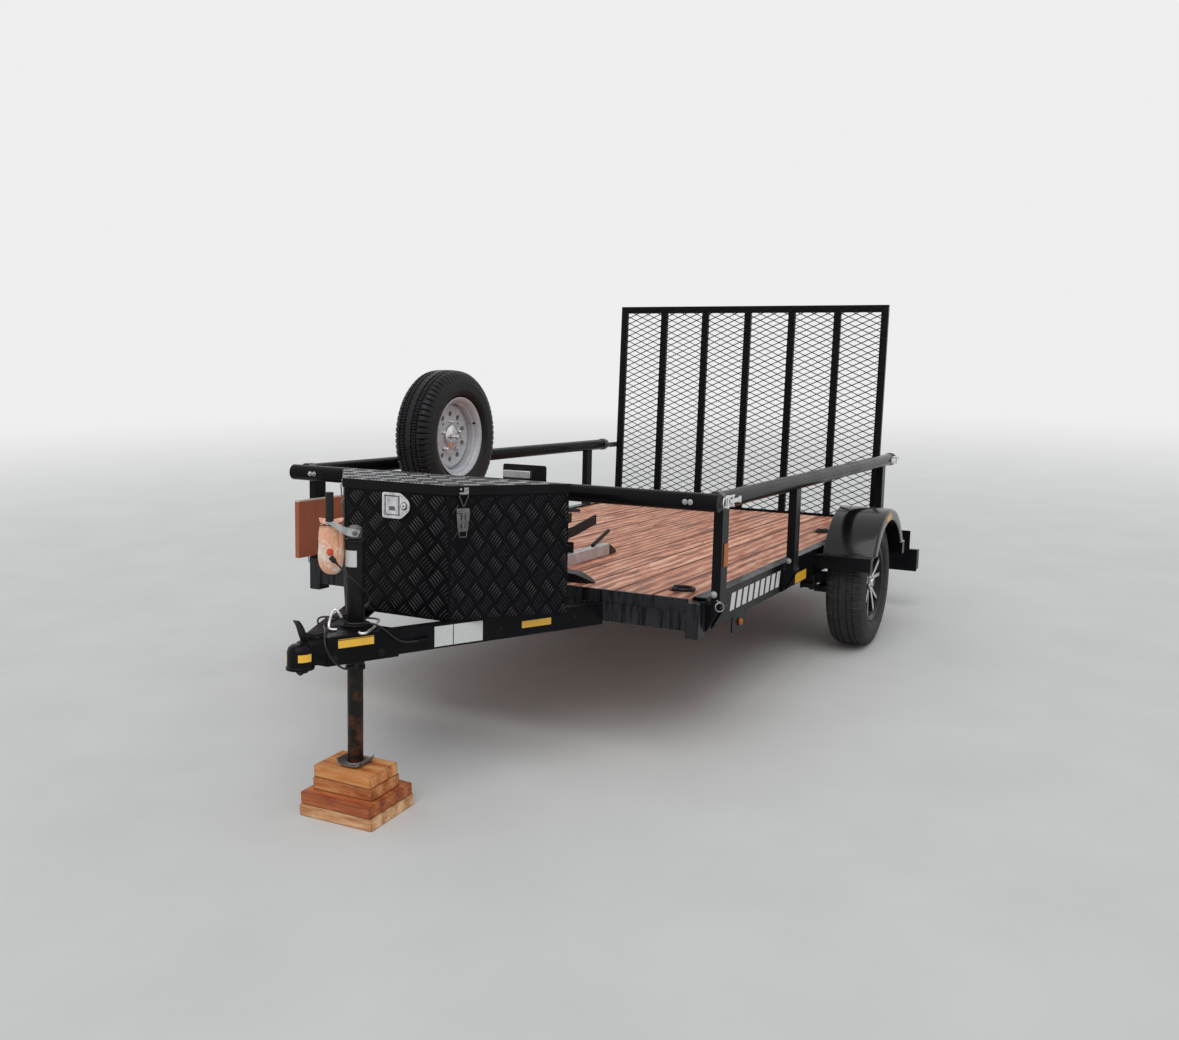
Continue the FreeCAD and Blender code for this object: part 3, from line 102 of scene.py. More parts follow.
def shifted(x, y, z):
    return Matrix.Translation((x, y, z))


def rotated(degrees, axis):
    return Matrix.Rotation(math.radians(degrees), 4, axis)


def around(point, way, spin=0.0):
    """A frame at a point whose Z looks along way."""
    turn = Vector(way).to_track_quat("Z", "Y").to_matrix().to_4x4()
    return Matrix.Translation(Vector(point)) @ turn @ Matrix.Rotation(spin, 4, "Z")


def wall(origin, right):
    """A frame on an upright face: X to the right, Y up, Z out of the face."""
    right = Vector(right).normalized()
    up = Vector((0, 0, 1))
    out = right.cross(up)
    return Matrix.Translation(Vector(origin)) @ Matrix((right, up, out)).transposed().to_4x4()


UPRIGHT = Matrix(((0, 0, 1, 0), (1, 0, 0, 0), (0, 1, 0, 0), (0, 0, 0, 1)))


# Materials
class Shader:
    """A small builder for node materials."""

    def __init__(self, name, **sockets):
        self.mat = bpy.data.materials.new(name)
        self.mat.use_nodes = True
        self.tree = self.mat.node_tree
        self.bsdf = self.tree.nodes["Principled BSDF"]
        for socket, value in sockets.items():
            self.bsdf.inputs[socket.replace("_", " ")].default_value = value
        self.place = self.tree.nodes.new("ShaderNodeTexCoord").outputs["Object"]

    def node(self, kind, inputs=(), **settings):
        return add_node(self.tree, kind, inputs, **settings)

    def stretch(self, x, y, z):
        return self.node("Mapping", {"Vector": self.place, "Scale": (x, y, z)}).outputs[0]

    def noise(self, scale, detail=3, rough=0.55, vector=None, distort=0):
        return self.node("TexNoise", {"Vector": vector or self.place, "Scale": scale, "Detail": detail,
                                      "Roughness": rough, "Distortion": distort}).outputs["Fac"]

    def ramp(self, fac, *stops):
        item = self.node("ValToRGB", {"Fac": fac})
        marks = item.color_ramp.elements
        while len(marks) < len(stops):
            marks.new(0.5)
        for mark, (at, tone) in zip(marks, stops):
            mark.position = at
            mark.color = tone if len(tone) == 4 else (*tone, 1)
        return item.outputs[0]

    def span(self, fac, low, high, to_low=0.0, to_high=1.0):
        return self.node("MapRange", {"Value": fac, "From Min": low, "From Max": high, "To Min": to_low,
                                      "To Max": to_high}).outputs[0]

    def calc(self, operation, a, b):
        return self.node("Math", {0: a, 1: b}, operation=operation).outputs[0]

    def mix(self, fac, a, b):
        tones = [tone if isinstance(tone, bpy.types.NodeSocket) else (*tone[:3], 1) for tone in (a, b)]
        return self.node("Mix", {0: fac, 6: tones[0], 7: tones[1]}, data_type="RGBA").outputs[2]

    def facing_up(self):
        normal = self.node("NewGeometry").outputs["Normal"]
        return self.span(self.node("SeparateXYZ", {"Vector": normal}).outputs["Z"], 0.35, 0.95)

    def edges(self, radius, low=0.02, high=0.25):
        """How close a point is to a hard edge."""
        soft = self.node("Bevel", {"Radius": radius}, samples=4).outputs[0]
        hard = self.node("NewGeometry").outputs["True Normal"]
        same = self.node("VectorMath", {0: soft, 1: hard}, operation="DOT_PRODUCT").outputs["Value"]
        return self.span(same, 1 - low, 1 - high)

    def set(self, **sockets):
        for socket, value in sockets.items():
            self.tree.links.new(value, self.bsdf.inputs[socket.replace("_", " ")])
        return self

    def bump(self, height, strength, distance=0.001, under=None):
        inputs = {"Height": height, "Strength": strength, "Distance": distance}
        if under:
            inputs["Normal"] = under
        return self.node("Bump", inputs).outputs[0]

    def finish(self, base, gloss, skin, edge):
        """Colour, roughness and a fine skin under softened edges."""
        rounded = self.node("Bevel", {"Radius": edge, "Normal": skin}, samples=4).outputs[0]
        return self.set(Base_Color=base, Roughness=gloss, Normal=rounded).mat


DUST = (0.1, 0.092, 0.08)
RUST = (0.15, 0.045, 0.016)


def enamel(name, tone, rough, dust=0.3, wear=0.5, coat=0.0, round_edge=0.0015, streaks=0.0, shine=0.32,
           rust=0.0):
    """Dark paint with patchy gloss, dust on what faces up, wear along its edges, and streaks or rust."""
    s = Shader(name, Coat_Weight=coat, Coat_Roughness=0.1, Specular_IOR_Level=shine)
    patch = s.noise(5, 4)
    fine = s.noise(60, 5, 0.7)
    base = s.ramp(patch, (0.3, [c * 0.75 for c in tone]), (0.7, [c * 1.35 for c in tone]))
    powder = s.calc("MULTIPLY", s.facing_up(), s.span(s.noise(14, 6, 0.7), 0.42, 0.68, 0, dust))
    base = s.mix(powder, base, DUST)
    if rust:
        base = s.mix(s.span(s.noise(16, 6, 0.7), 0.5, 0.62, 0, rust), base, RUST)
    rub = s.calc("MULTIPLY", s.edges(0.004), s.span(fine, 0.5, 0.66, 0, wear))
    base = s.mix(rub, base, [c * 3 + 0.02 for c in tone])
    gloss = s.span(patch, 0.3, 0.7, rough - 0.09, rough + 0.09)
    gloss = s.calc("ADD", gloss, s.span(fine, 0.3, 0.7, -0.05, 0.08))
    gloss = s.calc("ADD", gloss, s.calc("MULTIPLY", powder, 0.6))
    if streaks:
        run = s.noise(1, 4, 0.65, s.stretch(78, 78, 2.6))
        wet = s.span(run, 0.5, 0.6, 0, streaks)
        gloss = s.calc("SUBTRACT", gloss, wet)
        base = s.mix(s.calc("MULTIPLY", wet, 3.2), base, [c * 0.14 for c in tone])
    return s.finish(base, gloss, s.bump(s.noise(420, 2), 0.05), round_edge)


def plain_metal(name, tone, rough, stain, grain=0.0):
    """Bright metal with stains, fine scratches and softened edges."""
    s = Shader(name, Metallic=1.0)
    patch = s.noise(24, 5, 0.65)
    scratch = s.noise(1, 3, 0.7, s.stretch(500, 90, 500))
    base = s.ramp(patch, (0.32, [c * (1 - stain) for c in tone]), (0.62, tone))
    gloss = s.span(patch, 0.3, 0.7, rough + 0.12, rough)
    gloss = s.calc("ADD", gloss, s.span(scratch, 0.3, 0.7, -0.04, 0.06 + grain))
    return s.finish(base, gloss, s.bump(scratch, 0.06 + grain, 0.0005), 0.001)


def plastic(name, tone, rough, speck=0.25, coat=0.0, scale=40.0, shine=0.5):
    """Moulded or printed surface with slight mottling and a fine skin."""
    s = Shader(name, Coat_Weight=coat, Coat_Roughness=0.08, Specular_IOR_Level=shine)
    patch = s.noise(scale, 4, 0.6)
    base = s.ramp(patch, (0.3, [c * (1 - speck) for c in tone]),
                  (0.7, [min(1, c * (1 + speck)) for c in tone]))
    gloss = s.span(patch, 0.3, 0.7, rough - 0.06, rough + 0.08)
    return s.finish(base, gloss, s.bump(s.noise(600, 2), 0.06, 0.0004), 0.0008)


def rubber(name, tone, rough, dusty):
    """Tyre rubber with dust in its tread and along its sidewalls, and a painted highlight along its edges."""
    s = Shader(name, Specular_IOR_Level=0.22)
    patch = s.noise(9, 5, 0.65)
    fine = s.noise(150, 4, 0.7)
    base = s.ramp(patch, (0.3, [c * 0.8 for c in tone]), (0.7, [c * 1.3 for c in tone]))
    dirt = s.span(s.noise(26, 6, 0.75), 0.4, 0.7, 0, dusty)
    base = s.mix(dirt, base, DUST)
    # Painted highlight: edges lightened to three times the rubber's tone.
    base = s.mix(s.calc("MULTIPLY", s.edges(0.003), 0.5), base, [c * 3 for c in tone])
    gloss = s.span(patch, 0.3, 0.7, rough - 0.1, rough + 0.1)
    skin = s.bump(fine, 0.2, 0.0006)
    return s.set(Base_Color=base, Roughness=gloss, Normal=skin).mat


def timber(name, tones, scale, along, edge, patch, waves, weights, deep, rough=0.6, depth=0.5, rim=0.006):
    """Sawn wood: rings drawn out along the grain, fine streaks, weathered patches and painted shade along its
    edges for the dark gaps between boards.

    Each board shifts the pattern by its own tone."""
    s = Shader(name, Specular_IOR_Level=0.35)
    shade = s.node("Attribute", attribute_name="tone").outputs["Fac"]
    shift = s.node("CombineXYZ", {"X": s.calc("MULTIPLY", shade, 7.0), "Y": s.calc("MULTIPLY", shade, 31.0)})
    place = s.node("VectorMath", {0: s.place, 1: shift.outputs[0]}, operation="ADD").outputs[0]

    def drawn(across, length):
        steps = (length, across, across) if along == "X" else (across, length, across)
        return s.node("Mapping", {"Vector": place, "Scale": [step * scale for step in steps]}).outputs[0]

    rings = s.node("TexWave", {"Vector": drawn(*waves), "Scale": 1.0, "Distortion": 7.0, "Detail": 3.0,
                               "Detail Scale": 0.8, "Detail Roughness": 0.6}, wave_type="BANDS",
                   bands_direction="Y" if along == "X" else "X").outputs["Fac"]
    broad = s.noise(1, 5, 0.65, drawn(11, 2.0), 1.2)
    streak = s.noise(1, 4, 0.7, drawn(52, 4.5), 0.5)
    grain = s.calc("ADD", s.calc("MULTIPLY", rings, weights[0]), s.calc("MULTIPLY", broad, weights[1]))
    grain = s.calc("ADD", grain, s.calc("MULTIPLY", streak, weights[2]))
    base = s.ramp(grain, *tones)
    base = s.mix(s.span(shade, 0, 1, 0, 0.3), base, tones[1][1])
    base = s.mix(s.span(s.noise(3.4, 6, 0.7, place), 0.56, 0.7, 0, 0.5), base, patch)
    cracks = s.noise(1, 5, 0.8, drawn(64, 7.0), 0.4)
    base = s.mix(s.span(cracks, 0.57, 0.68, 0, deep), base, [c * 0.4 for c in tones[0][1]])
    # Painted shade: colour darkened near hard edges, reaching rim and scaled by edge, so the gaps between
    # boards look dark.
    base = s.mix(s.calc("MULTIPLY", s.edges(rim, 0.002, 0.08), edge), base, [c * 0.35 for c in tones[0][1]])
    gloss = s.span(grain, 0.3, 0.7, rough - 0.12, rough + 0.12)
    skin = s.bump(grain, depth, 0.0015)
    return s.set(Base_Color=base, Roughness=gloss, Normal=s.bump(cracks, depth, 0.001, skin)).mat


BLACK = enamel("black_enamel", (0.0058, 0.006, 0.007), 0.24, dust=0.04, wear=0.3, shine=0.09)
RAIL_BLACK = enamel("rail_enamel", (0.005, 0.0052, 0.006), 0.2, dust=0.03, wear=0.15, shine=0.08)
BEAM_BLACK = enamel("wet_beam_enamel", (0.021, 0.0215, 0.025), 0.34, dust=0.1, wear=0.8, streaks=0.3,
                    shine=0.16)
LEG_BLACK = enamel("leg_enamel", (0.008, 0.008, 0.009), 0.36, dust=0.15, wear=0.5, shine=0.18)
PLATE = enamel("plate_ground", (0.0035, 0.0035, 0.0045), 0.3, dust=0.05, wear=0.25, shine=0.07)
LID_PLATE = enamel("lid_ground", (0.004, 0.004, 0.005), 0.3, dust=0.05, wear=0.3, shine=0.12)
# Painted highlight: the raised bars are twice as light as the plate they rise from.
HIGHLIGHT_PAINTED_BARS = enamel("tread_bars_painted_highlight", (0.007, 0.0075, 0.0085), 0.24, dust=0.03, wear=0.5, shine=0.22, round_edge=0.0006)
# Painted reflection of the sky: the lid's bars are light grey, not black like the rest of the plate.
LID_BARS_PAINTED_REFLECTION = enamel("lid_bars_painted_reflection", (0.24, 0.245, 0.26), 0.3, dust=0.1, wear=0.3, shine=0.9, round_edge=0.0006)
FENDER = enamel("fender_gloss", (0.005, 0.0052, 0.0062), 0.13, dust=0.03, wear=0.1, coat=0.35, shine=0.22)
MESH_BLACK = enamel("mesh_enamel", (0.004, 0.004, 0.005), 0.5, dust=0.0, wear=0.1, round_edge=0.0004,
                    shine=0.1)
GRIP = plastic("black_grip", (0.011, 0.011, 0.012), 0.5, shine=0.25)
CHROME = plain_metal("chrome", (0.78, 0.78, 0.8), 0.15, stain=0.4)
ZINC = plain_metal("zinc", (0.5, 0.51, 0.52), 0.36, stain=0.45)
DULL_ZINC = plain_metal("dull_zinc", (0.2, 0.2, 0.2), 0.42, stain=0.6)
RUSTY = enamel("rusty_leg", (0.012, 0.01, 0.009), 0.42, dust=0.3, wear=0.8, shine=0.2, rust=0.6)
PRESSED = plain_metal("dusty_foot", (0.3, 0.28, 0.26), 0.6, stain=0.6)
HOOK = plain_metal("hook_zinc", (0.85, 0.85, 0.86), 0.42, stain=0.15)
MACHINED = plain_metal("machined_alloy", (0.72, 0.73, 0.75), 0.24, stain=0.15)
POCKET = enamel("alloy_pocket", (0.008, 0.008, 0.009), 0.26, dust=0.2, wear=0.1, shine=0.2)
SILVER = plain_metal("silver_bar", (0.62, 0.62, 0.64), 0.42, stain=0.22, grain=0.03)
SILVER_PAINT = plastic("silver_paint", (0.5, 0.51, 0.54), 0.34, speck=0.1, coat=0.4)
TYRE = rubber("tyre_rubber", (0.021, 0.021, 0.022), 0.62, 0.34)
SPARE_RUBBER = rubber("spare_rubber", (0.0095, 0.0098, 0.0115), 0.4, 0.04)
CORD = plastic("black_vinyl", (0.012, 0.012, 0.013), 0.36, speck=0.1, shine=0.35)
YELLOW = plastic("yellow_reflector", (0.95, 0.52, 0.035), 0.3, speck=0.07, coat=0.5, scale=300)
AMBER = plastic("amber_lens", (0.42, 0.1, 0.008), 0.32, speck=0.15, scale=200, shine=0.25)
STICKER = plastic("amber_sticker", (0.78, 0.36, 0.03), 0.35, speck=0.15, scale=200, shine=0.4)
RED = plastic("red_lens", (0.5, 0.012, 0.01), 0.18, speck=0.1, coat=0.8, scale=200)
LABEL = plastic("blank_label", (0.62, 0.63, 0.61), 0.4, speck=0.06, coat=0.3, scale=120)
WHITE = plastic("white_stripe", (0.7, 0.7, 0.69), 0.42, speck=0.09, scale=70)
# On the deck and the blocks, edge and rim set the strength and reach of the painted shade along the boards'
# edges.
DECK_WOOD = timber("deck_timber", ((0.37, (0.12, 0.035, 0.018)), (0.44, (0.42, 0.135, 0.07)),
                                   (0.51, (0.62, 0.255, 0.15)), (0.6, (0.84, 0.5, 0.35))), 1.0, "Y",
                   rough=0.5, edge=1.0, patch=(0.17, 0.07, 0.045), waves=(7, 1.6), weights=(0.16, 0.42, 0.42),
                   deep=0.8, rim=0.011)
BLOCK_TONES = (((0.4, 0.17, 0.07), (0.62, 0.31, 0.14), (0.76, 0.45, 0.24), (0.85, 0.58, 0.36)),
               ((0.17, 0.035, 0.012), (0.34, 0.08, 0.025), (0.44, 0.13, 0.04), (0.56, 0.22, 0.08)),
               ((0.25, 0.07, 0.02), (0.46, 0.15, 0.045), (0.58, 0.24, 0.085), (0.7, 0.36, 0.15)),
               ((0.3, 0.08, 0.02), (0.56, 0.19, 0.05), (0.68, 0.28, 0.09), (0.78, 0.42, 0.17)))
BLOCK_WOODS = [timber("block_timber_%d" % number, tuple(zip((0.36, 0.45, 0.53, 0.62), tones)), 1.7, "X",
                      patch=tones[0], waves=(3, 1.5), weights=(0.12, 0.4, 0.48), deep=0.6, depth=0.35,
                      edge=0.6)
               for number, tones in enumerate(BLOCK_TONES)]
BOARD_WOOD = plastic("panel_board", (0.36, 0.098, 0.043), 0.6, speck=0.12, scale=26)
BOARD_EDGE = plastic("panel_edge", (0.6, 0.5, 0.42), 0.7, speck=0.2, scale=60)
BAG_RED = plastic("bag_patch", (0.62, 0.07, 0.025), 0.5, speck=0.3, scale=60)


# Mesh building
class Form:
    """Collects solids in the level frame, in millimetres, and makes one object of them."""

    def __init__(self, base=None):
        self.bm = bmesh.new()
        self.base = base or Matrix()
        self.slot = 0
        self.tone = 0.5
        self.tones = self.bm.faces.layers.float.new("tone")

    def add(self, verts, faces, matrix=None):
        turn = self.base @ (matrix or Matrix())
        made = [self.bm.verts.new(turn @ Vector(v)) for v in verts]
        for face in faces:
            new = self.bm.faces.new([made[i] for i in face])
            new.material_index = self.slot
            new[self.tones] = self.tone
            new.smooth = True

    def box(self, x, y, z, matrix=None, cuts=(1, 1, 1)):
        """A box from spans, with its faces cut into a grid."""
        index, verts, faces = {}, [], []

        def at(key):
            if key not in index:
                index[key] = len(verts)
                verts.append([a + (b - a) * i / n for (a, b), i, n in zip((x, y, z), key, cuts)])
            return index[key]

        for axis in range(3):
            u, v = (axis + 1) % 3, (axis + 2) % 3
            for level in (0, cuts[axis]):
                for i in range(cuts[u]):
                    for j in range(cuts[v]):
                        face = [{axis: level, u: i + a, v: j + b} for a, b in ((0, 0), (1, 0), (1, 1), (0, 1))]
                        faces.append([at((key[0], key[1], key[2])) for key in face])
        self.add(verts, faces, matrix)

    def prism(self, outline, low, high, matrix=None):
        """A flat outline in X and Y drawn out along Z."""
        count = len(outline)
        verts = [(x, y, low) for x, y in outline] + [(x, y, high) for x, y in outline]
        faces = [tuple(range(count)), tuple(range(count, 2 * count))]
        faces += [(i, (i + 1) % count, (i + 1) % count + count, i + count) for i in range(count)]
        self.add(verts, faces, matrix)

    def lathe(self, profile, matrix=None, sides=32, closed=False):
        """A profile of (height, radius) turned about Z; an open profile is capped at both ends."""
        verts = [(r * math.cos(way), r * math.sin(way), high) for way in turns(sides) for high, r in profile]
        n = len(profile)
        faces = []
        for number in range(sides):
            after = (number + 1) % sides
            for i in range(n if closed else n - 1):
                j = (i + 1) % n
                faces.append((number * n + i, after * n + i, after * n + j, number * n + j))
        if not closed:
            faces += [tuple(number * n + end for number in range(sides)) for end in (0, n - 1)]
        self.add(verts, faces, matrix)

    def ring(self, profile, sides=48, matrix=None):
        """A closed profile turned about Z."""
        self.lathe(profile, matrix, sides, closed=True)

    def loft(self, rings, matrix=None, loop=False):
        """A solid through rings with equal counts of points; a loop joins the last ring to the first."""
        n, count = len(rings[0]), len(rings)
        faces = [] if loop else [tuple(reversed(range(n))), tuple(range((count - 1) * n, count * n))]
        for number in range(count if loop else count - 1):
            after = (number + 1) % count
            for i in range(n):
                j = (i + 1) % n
                faces.append((number * n + i, number * n + j, after * n + j, after * n + i))
        self.add([point for ring in rings for point in ring], faces, matrix)

    def rim(self, outer, inner, low, high, matrix=None):
        """A raised rim between two outlines."""
        n = len(outer)
        verts = [(*p, z) for z in (low, high) for ring in (outer, inner) for p in ring]
        faces = []
        for i in range(n):
            j = (i + 1) % n
            faces += [(i, j, n + j, n + i), (2 * n + i, 3 * n + i, 3 * n + j, 2 * n + j),
                      (i, 2 * n + i, 2 * n + j, j), (n + i, n + j, 3 * n + j, 3 * n + i)]
        self.add(verts, faces, matrix)

    def rod(self, start, end, radius, sides=24, ease=0.0):
        """A round bar between two points, its rims eased."""
        way = Vector(end) - Vector(start)
        long = way.length
        profile = [(0, radius - ease), (ease, radius), (long - ease, radius), (long, radius - ease)]
        self.lathe(profile if ease else [(0, radius), (long, radius)], around(start, way), sides)

    def bolt(self, point, way, radius=8, high=6):
        """A hex head on its washer; way points out of the surface."""
        matrix = around(point, way)
        base = 1.6
        self.lathe([(0, radius * 1.45), (1.4, radius * 1.45), (base, radius * 1.38)], matrix, 24)
        self.lathe([(base, radius), (base + high * 0.8, radius), (base + high, radius * 0.8)], matrix, 6)
        self.lathe([(base + high, radius * 0.55), (base + high + 2, radius * 0.5)], matrix, 16)

    def dome(self, point, way, radius=8, high=4):
        """A rounded head."""
        profile = [(high * up, radius * out) for up, out in ((0, 1), (0.35, 0.96), (0.75, 0.7), (1, 0.25))]
        self.lathe(profile, around(point, way), 24)

    def sweep(self, points, radius, sides=12, caps=True, flat=1.0):
        """A round or flattened bar along a polyline."""
        points = [Vector(p) for p in points]
        verts = []
        normal = None
        for number, point in enumerate(points):
            before = points[max(0, number - 1)]
            after = points[min(len(points) - 1, number + 1)]
            way = (after - before).normalized()
            if normal is None:
                normal = way.orthogonal().normalized()
            normal = (normal - way * normal.dot(way)).normalized()
            side = way.cross(normal)
            for turn in turns(sides):
                verts.append(point + normal * math.cos(turn) * radius + side * math.sin(turn) * radius * flat)
        faces = []
        for number in range(len(points) - 1):
            for k in range(sides):
                after = (k + 1) % sides
                faces.append((number * sides + k, number * sides + after,
                              (number + 1) * sides + after, (number + 1) * sides + k))
        if caps:
            faces.append(tuple(range(sides)))
            faces.append(tuple(range((len(points) - 1) * sides, len(points) * sides)))
        self.add(verts, faces)

    def mirror(self):
        """Adds the same forms on the other side of the middle plane."""
        parts = self.bm.verts[:] + self.bm.edges[:] + self.bm.faces[:]
        made = bmesh.ops.duplicate(self.bm, geom=parts)["geom"]
        for item in made:
            if isinstance(item, bmesh.types.BMVert):
                item.co.x = -item.co.x
        faces = [item for item in made if isinstance(item, bmesh.types.BMFace)]
        bmesh.ops.reverse_faces(self.bm, faces=faces)

    def done(self, name, slot, materials, replaces=(), body="trailer", bevel=0.0, sharp=35, world=False,
             steps=2):
        """One object of all the forms, its faces turned outward, its hard edges marked and eased.

        It rides on a body of the record; replaces names the nodes it stands for."""
        bmesh.ops.recalc_face_normals(self.bm, faces=self.bm.faces)
        if not world:
            bmesh.ops.transform(self.bm, matrix=PARK, verts=self.bm.verts)
        limit = math.radians(sharp)
        for edge in self.bm.edges:
            if len(edge.link_faces) == 2 and edge.calc_face_angle(0) > limit:
                edge.smooth = False
        mesh = bpy.data.meshes.new(name)
        self.bm.to_mesh(mesh)
        self.bm.free()
        item = add_object(name, mesh)
        for material in materials if isinstance(materials, (list, tuple)) else [materials]:
            mesh.materials.append(material)
        if bevel:
            mod = item.modifiers.new("eased_edges", "BEVEL")
            mod.width = bevel / 1000
            mod.segments = steps
            mod.limit_method = "ANGLE"
            mod.angle_limit = math.radians(38)
        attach(item, body)
        if replaces:
            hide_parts(*replaces)
        return item


def dress(names, material):
    """Gives carried solids their finish."""
    for name in names:
        item = frame["nodes"][name]
        for number in range(len(item.material_slots)):
            item.material_slots[number].material = material


# Camera
def camera():
    """The photograph's view: place and angles in the level frame, in metres and degrees."""
    yaw, pitch, roll = (math.radians(angle) for angle in (26.7777, 7.1734, 1.3301))
    ahead = Vector((-math.sin(yaw) * math.cos(pitch), math.cos(yaw) * math.cos(pitch), -math.sin(pitch)))
    level_right = Vector((math.cos(yaw), math.sin(yaw), 0))
    level_up = level_right.cross(ahead)
    right = level_right * math.cos(roll) + level_up * math.sin(roll)
    up = level_up * math.cos(roll) - level_right * math.sin(roll)
    turn = Matrix((right, up, -ahead)).transposed().to_4x4()
    data = bpy.data.cameras.new("view")
    data.sensor_fit = "HORIZONTAL"
    data.sensor_width = 36
    data.lens = 34.274
    data.clip_end = 200
    item = add_object("view", data)
    item.matrix_world = PARK @ shifted(2136.15, -3434.12, 1190.77) @ turn @ Matrix.Scale(1000, 4)
    bpy.context.scene.camera = item


camera()

# Cords and their hooks: each route from where it is held to its far end, in millimetres
ROUTES = {
    "plug_lead": [
        (60.9, -855, 330), (61, -876, 330), (67, -897, 333), (73, -916, 341), (72, -936, 354),
        (69, -954, 372), (65, -969, 394), (56, -972, 418), (43, -957, 438), (27, -935, 447),
        (3, -908, 448), (-24, -882, 447), (-41, -847, 446), (-50, -812, 446), (-53, -781, 448),
        (-50, -752, 456), (-31, -728, 466), (-3, -717, 478), (23, -727, 494), (41, -748, 516),
        (47.5, -774, 540), (42, -799, 563), (27, -818.5, 587), (7.9, -830.2, 610),
        (-11.8, -834.4, 628)],
    "safety_cable_left": [
        (174.18, -683.53, 388), (161.5, -710.72, 388), (150.5, -738, 394), (141, -764, 411),
        (131, -786, 434), (110, -800, 452), (79, -804, 454), (47, -813, 450), (25, -828, 449),
        (10, -838, 462), (2, -842, 480)],
    "safety_cable_right": [
        (-174.18, -683.53, 388), (-161.5, -710.72, 388), (-150.5, -738, 394), (-141, -764, 411),
        (-131, -786, 434), (-109, -796, 450), (-82, -776, 449), (-54, -741, 444), (-22, -713, 443),
        (14, -704, 443), (42, -711, 445), (58, -726, 446), (66, -740, 446)],
}
HOOKS = {
    "left": [(2, -842, 480), (-2, -844, 489), (-9, -848, 494), (-15, -853, 484), (-18, -857, 470),
             (-20, -861, 455), (-17, -868, 443), (-8, -873, 438), (3, -871, 437), (8, -862, 437)],
    "right": [(66, -740, 446), (71, -748.75, 446), (78, -765, 441.5), (86, -787, 437.4),
              (94, -811, 436.9), (102, -834, 436.9), (108, -850, 436.9), (105, -862, 436.9),
              (95, -865, 436.9), (88, -856, 436.9)],
}


def route(name, points, thick, material):
    """A curve whose control points are the route's own."""
    data = bpy.data.curves.new(name, "CURVE")
    data.dimensions = "3D"
    spline = data.splines.new("NURBS")
    spline.points.add(len(points) - 1)
    for point, at in zip(spline.points, points):
        point.co = (*(PARK @ Vector(at)), 1)
    spline.order_u = 3
    spline.use_endpoint_u = True
    data.resolution_u = 10
    data.bevel_depth = thick / 2000
    data.bevel_resolution = 4
    data.use_fill_caps = True
    data.materials.append(material)
    item = add_object(name, data)
    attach(item, "trailer")
    return item


for side, points in HOOKS.items():
    route("hook_" + side, points, 8, HOOK)
    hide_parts("cable_hooks")
for side, length in (("left", 0.287), ("right", 0.374)):
    node = "safety_cable_" + side
    cable = route("cable_" + side, ROUTES[node], 6, CORD)
    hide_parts(node)
    crimp = Form()
    start, end = Vector(ROUTES[node][-2]), Vector(ROUTES[node][-1])
    way = (end - start).normalized()
    crimp.rod(end - way * 14, end + way * 4, 5, 20, 1)
    sleeve = crimp.done("crimp_" + side, "zinc", ZINC)

plug_start, plug_tip = Vector(ROUTES["plug_lead"][-1]), Vector((-32.2, -838.75, 646.64))
plug_form = Form()
long = (plug_tip - plug_start).length
plug_form.lathe([(0, 3.4), (3, 3.8), (9, 5.2), (11, 7.4), (13, 8), (17, 8), (18, 7), (20, 7), (21, 8),
                 (long - 2, 8), (long, 7)], around(plug_start, plug_tip - plug_start), 28)
plug = plug_form.done("lead_plug_end", "cord_black", GRIP, ["lead_plug"])
lead = route("lead_run", ROUTES["plug_lead"], 6, CORD)
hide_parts("plug_lead")
boot_form = Form()
boot_form.lathe([(-4, 5.5), (0, 5.5), (3, 5), (12, 4.4), (26, 3.5), (27, 3.2)],
                around(ROUTES["plug_lead"][0], (0, -1, 0)), 24)
boot = boot_form.done("lead_boot", "cord_black", GRIP)


# Finishes of the solids that stay
dress(["side_beams", "cross_members", "rear_beam", "posts", "gate_frame", "tongue_channels", "spare_carrier",
       "fender_arms", "tail_lamps", "cable_anchors"], BLACK)
dress(["rail_front", "side_rails"], RAIL_BLACK)
dress(["front_beam"], BEAM_BLACK)
dress(["axle_beam", "leaf_springs", "spring_hangers"], LEG_BLACK)
dress(["rail_clamps"], DULL_ZINC)
dress(["tool_box"], PLATE)
dress(["tool_box_lid"], LID_PLATE)
dress(["lead_clip"], GRIP)

# Deck: eleven boards with eased edges and dark screw heads over the cross members
random.seed(4)
planks = Form()
PITCH, WIDE, BOARDS, BOARD_START, BOARD_END, BOARD_LOW = 141, 136.6, 11, 4, 2666, 427
SCREW_ROWS, SCREW_ASIDE = (22, 467, 887, 1307, 1727, 2147, 2646), 42
for number in range(BOARDS):
    low = (number - BOARDS / 2) * PITCH + (PITCH - WIDE) / 2
    planks.tone = random.random()
    shift = random.uniform(-0.5, 0.4)
    planks.box((low + 0.3 * random.random(), low + WIDE - 0.3 * random.random()),
               (BOARD_START + random.uniform(0, 2), BOARD_END - random.uniform(0, 3)),
               (BOARD_LOW, DECK - 0.5 + shift))
planks.done("deck_planks", "deck_wood", DECK_WOOD, ["deck_boards"], bevel=3.2, steps=3)
screws = Form()
for number in range(BOARDS):
    centre = (number + 0.5 - BOARDS / 2) * PITCH
    for row in SCREW_ROWS:
        for side in (-SCREW_ASIDE, SCREW_ASIDE):
            place = (centre + side + random.uniform(-4, 4), row + random.uniform(-5, 5), DECK - 1.6)
            screws.lathe([(0, 3.4), (1.6, 3.2), (2.0, 2.4), (1.7, 1)], around(place, (0, 0, 1)), 10)
screws.done("deck_screws", "black_steel", LEG_BLACK)


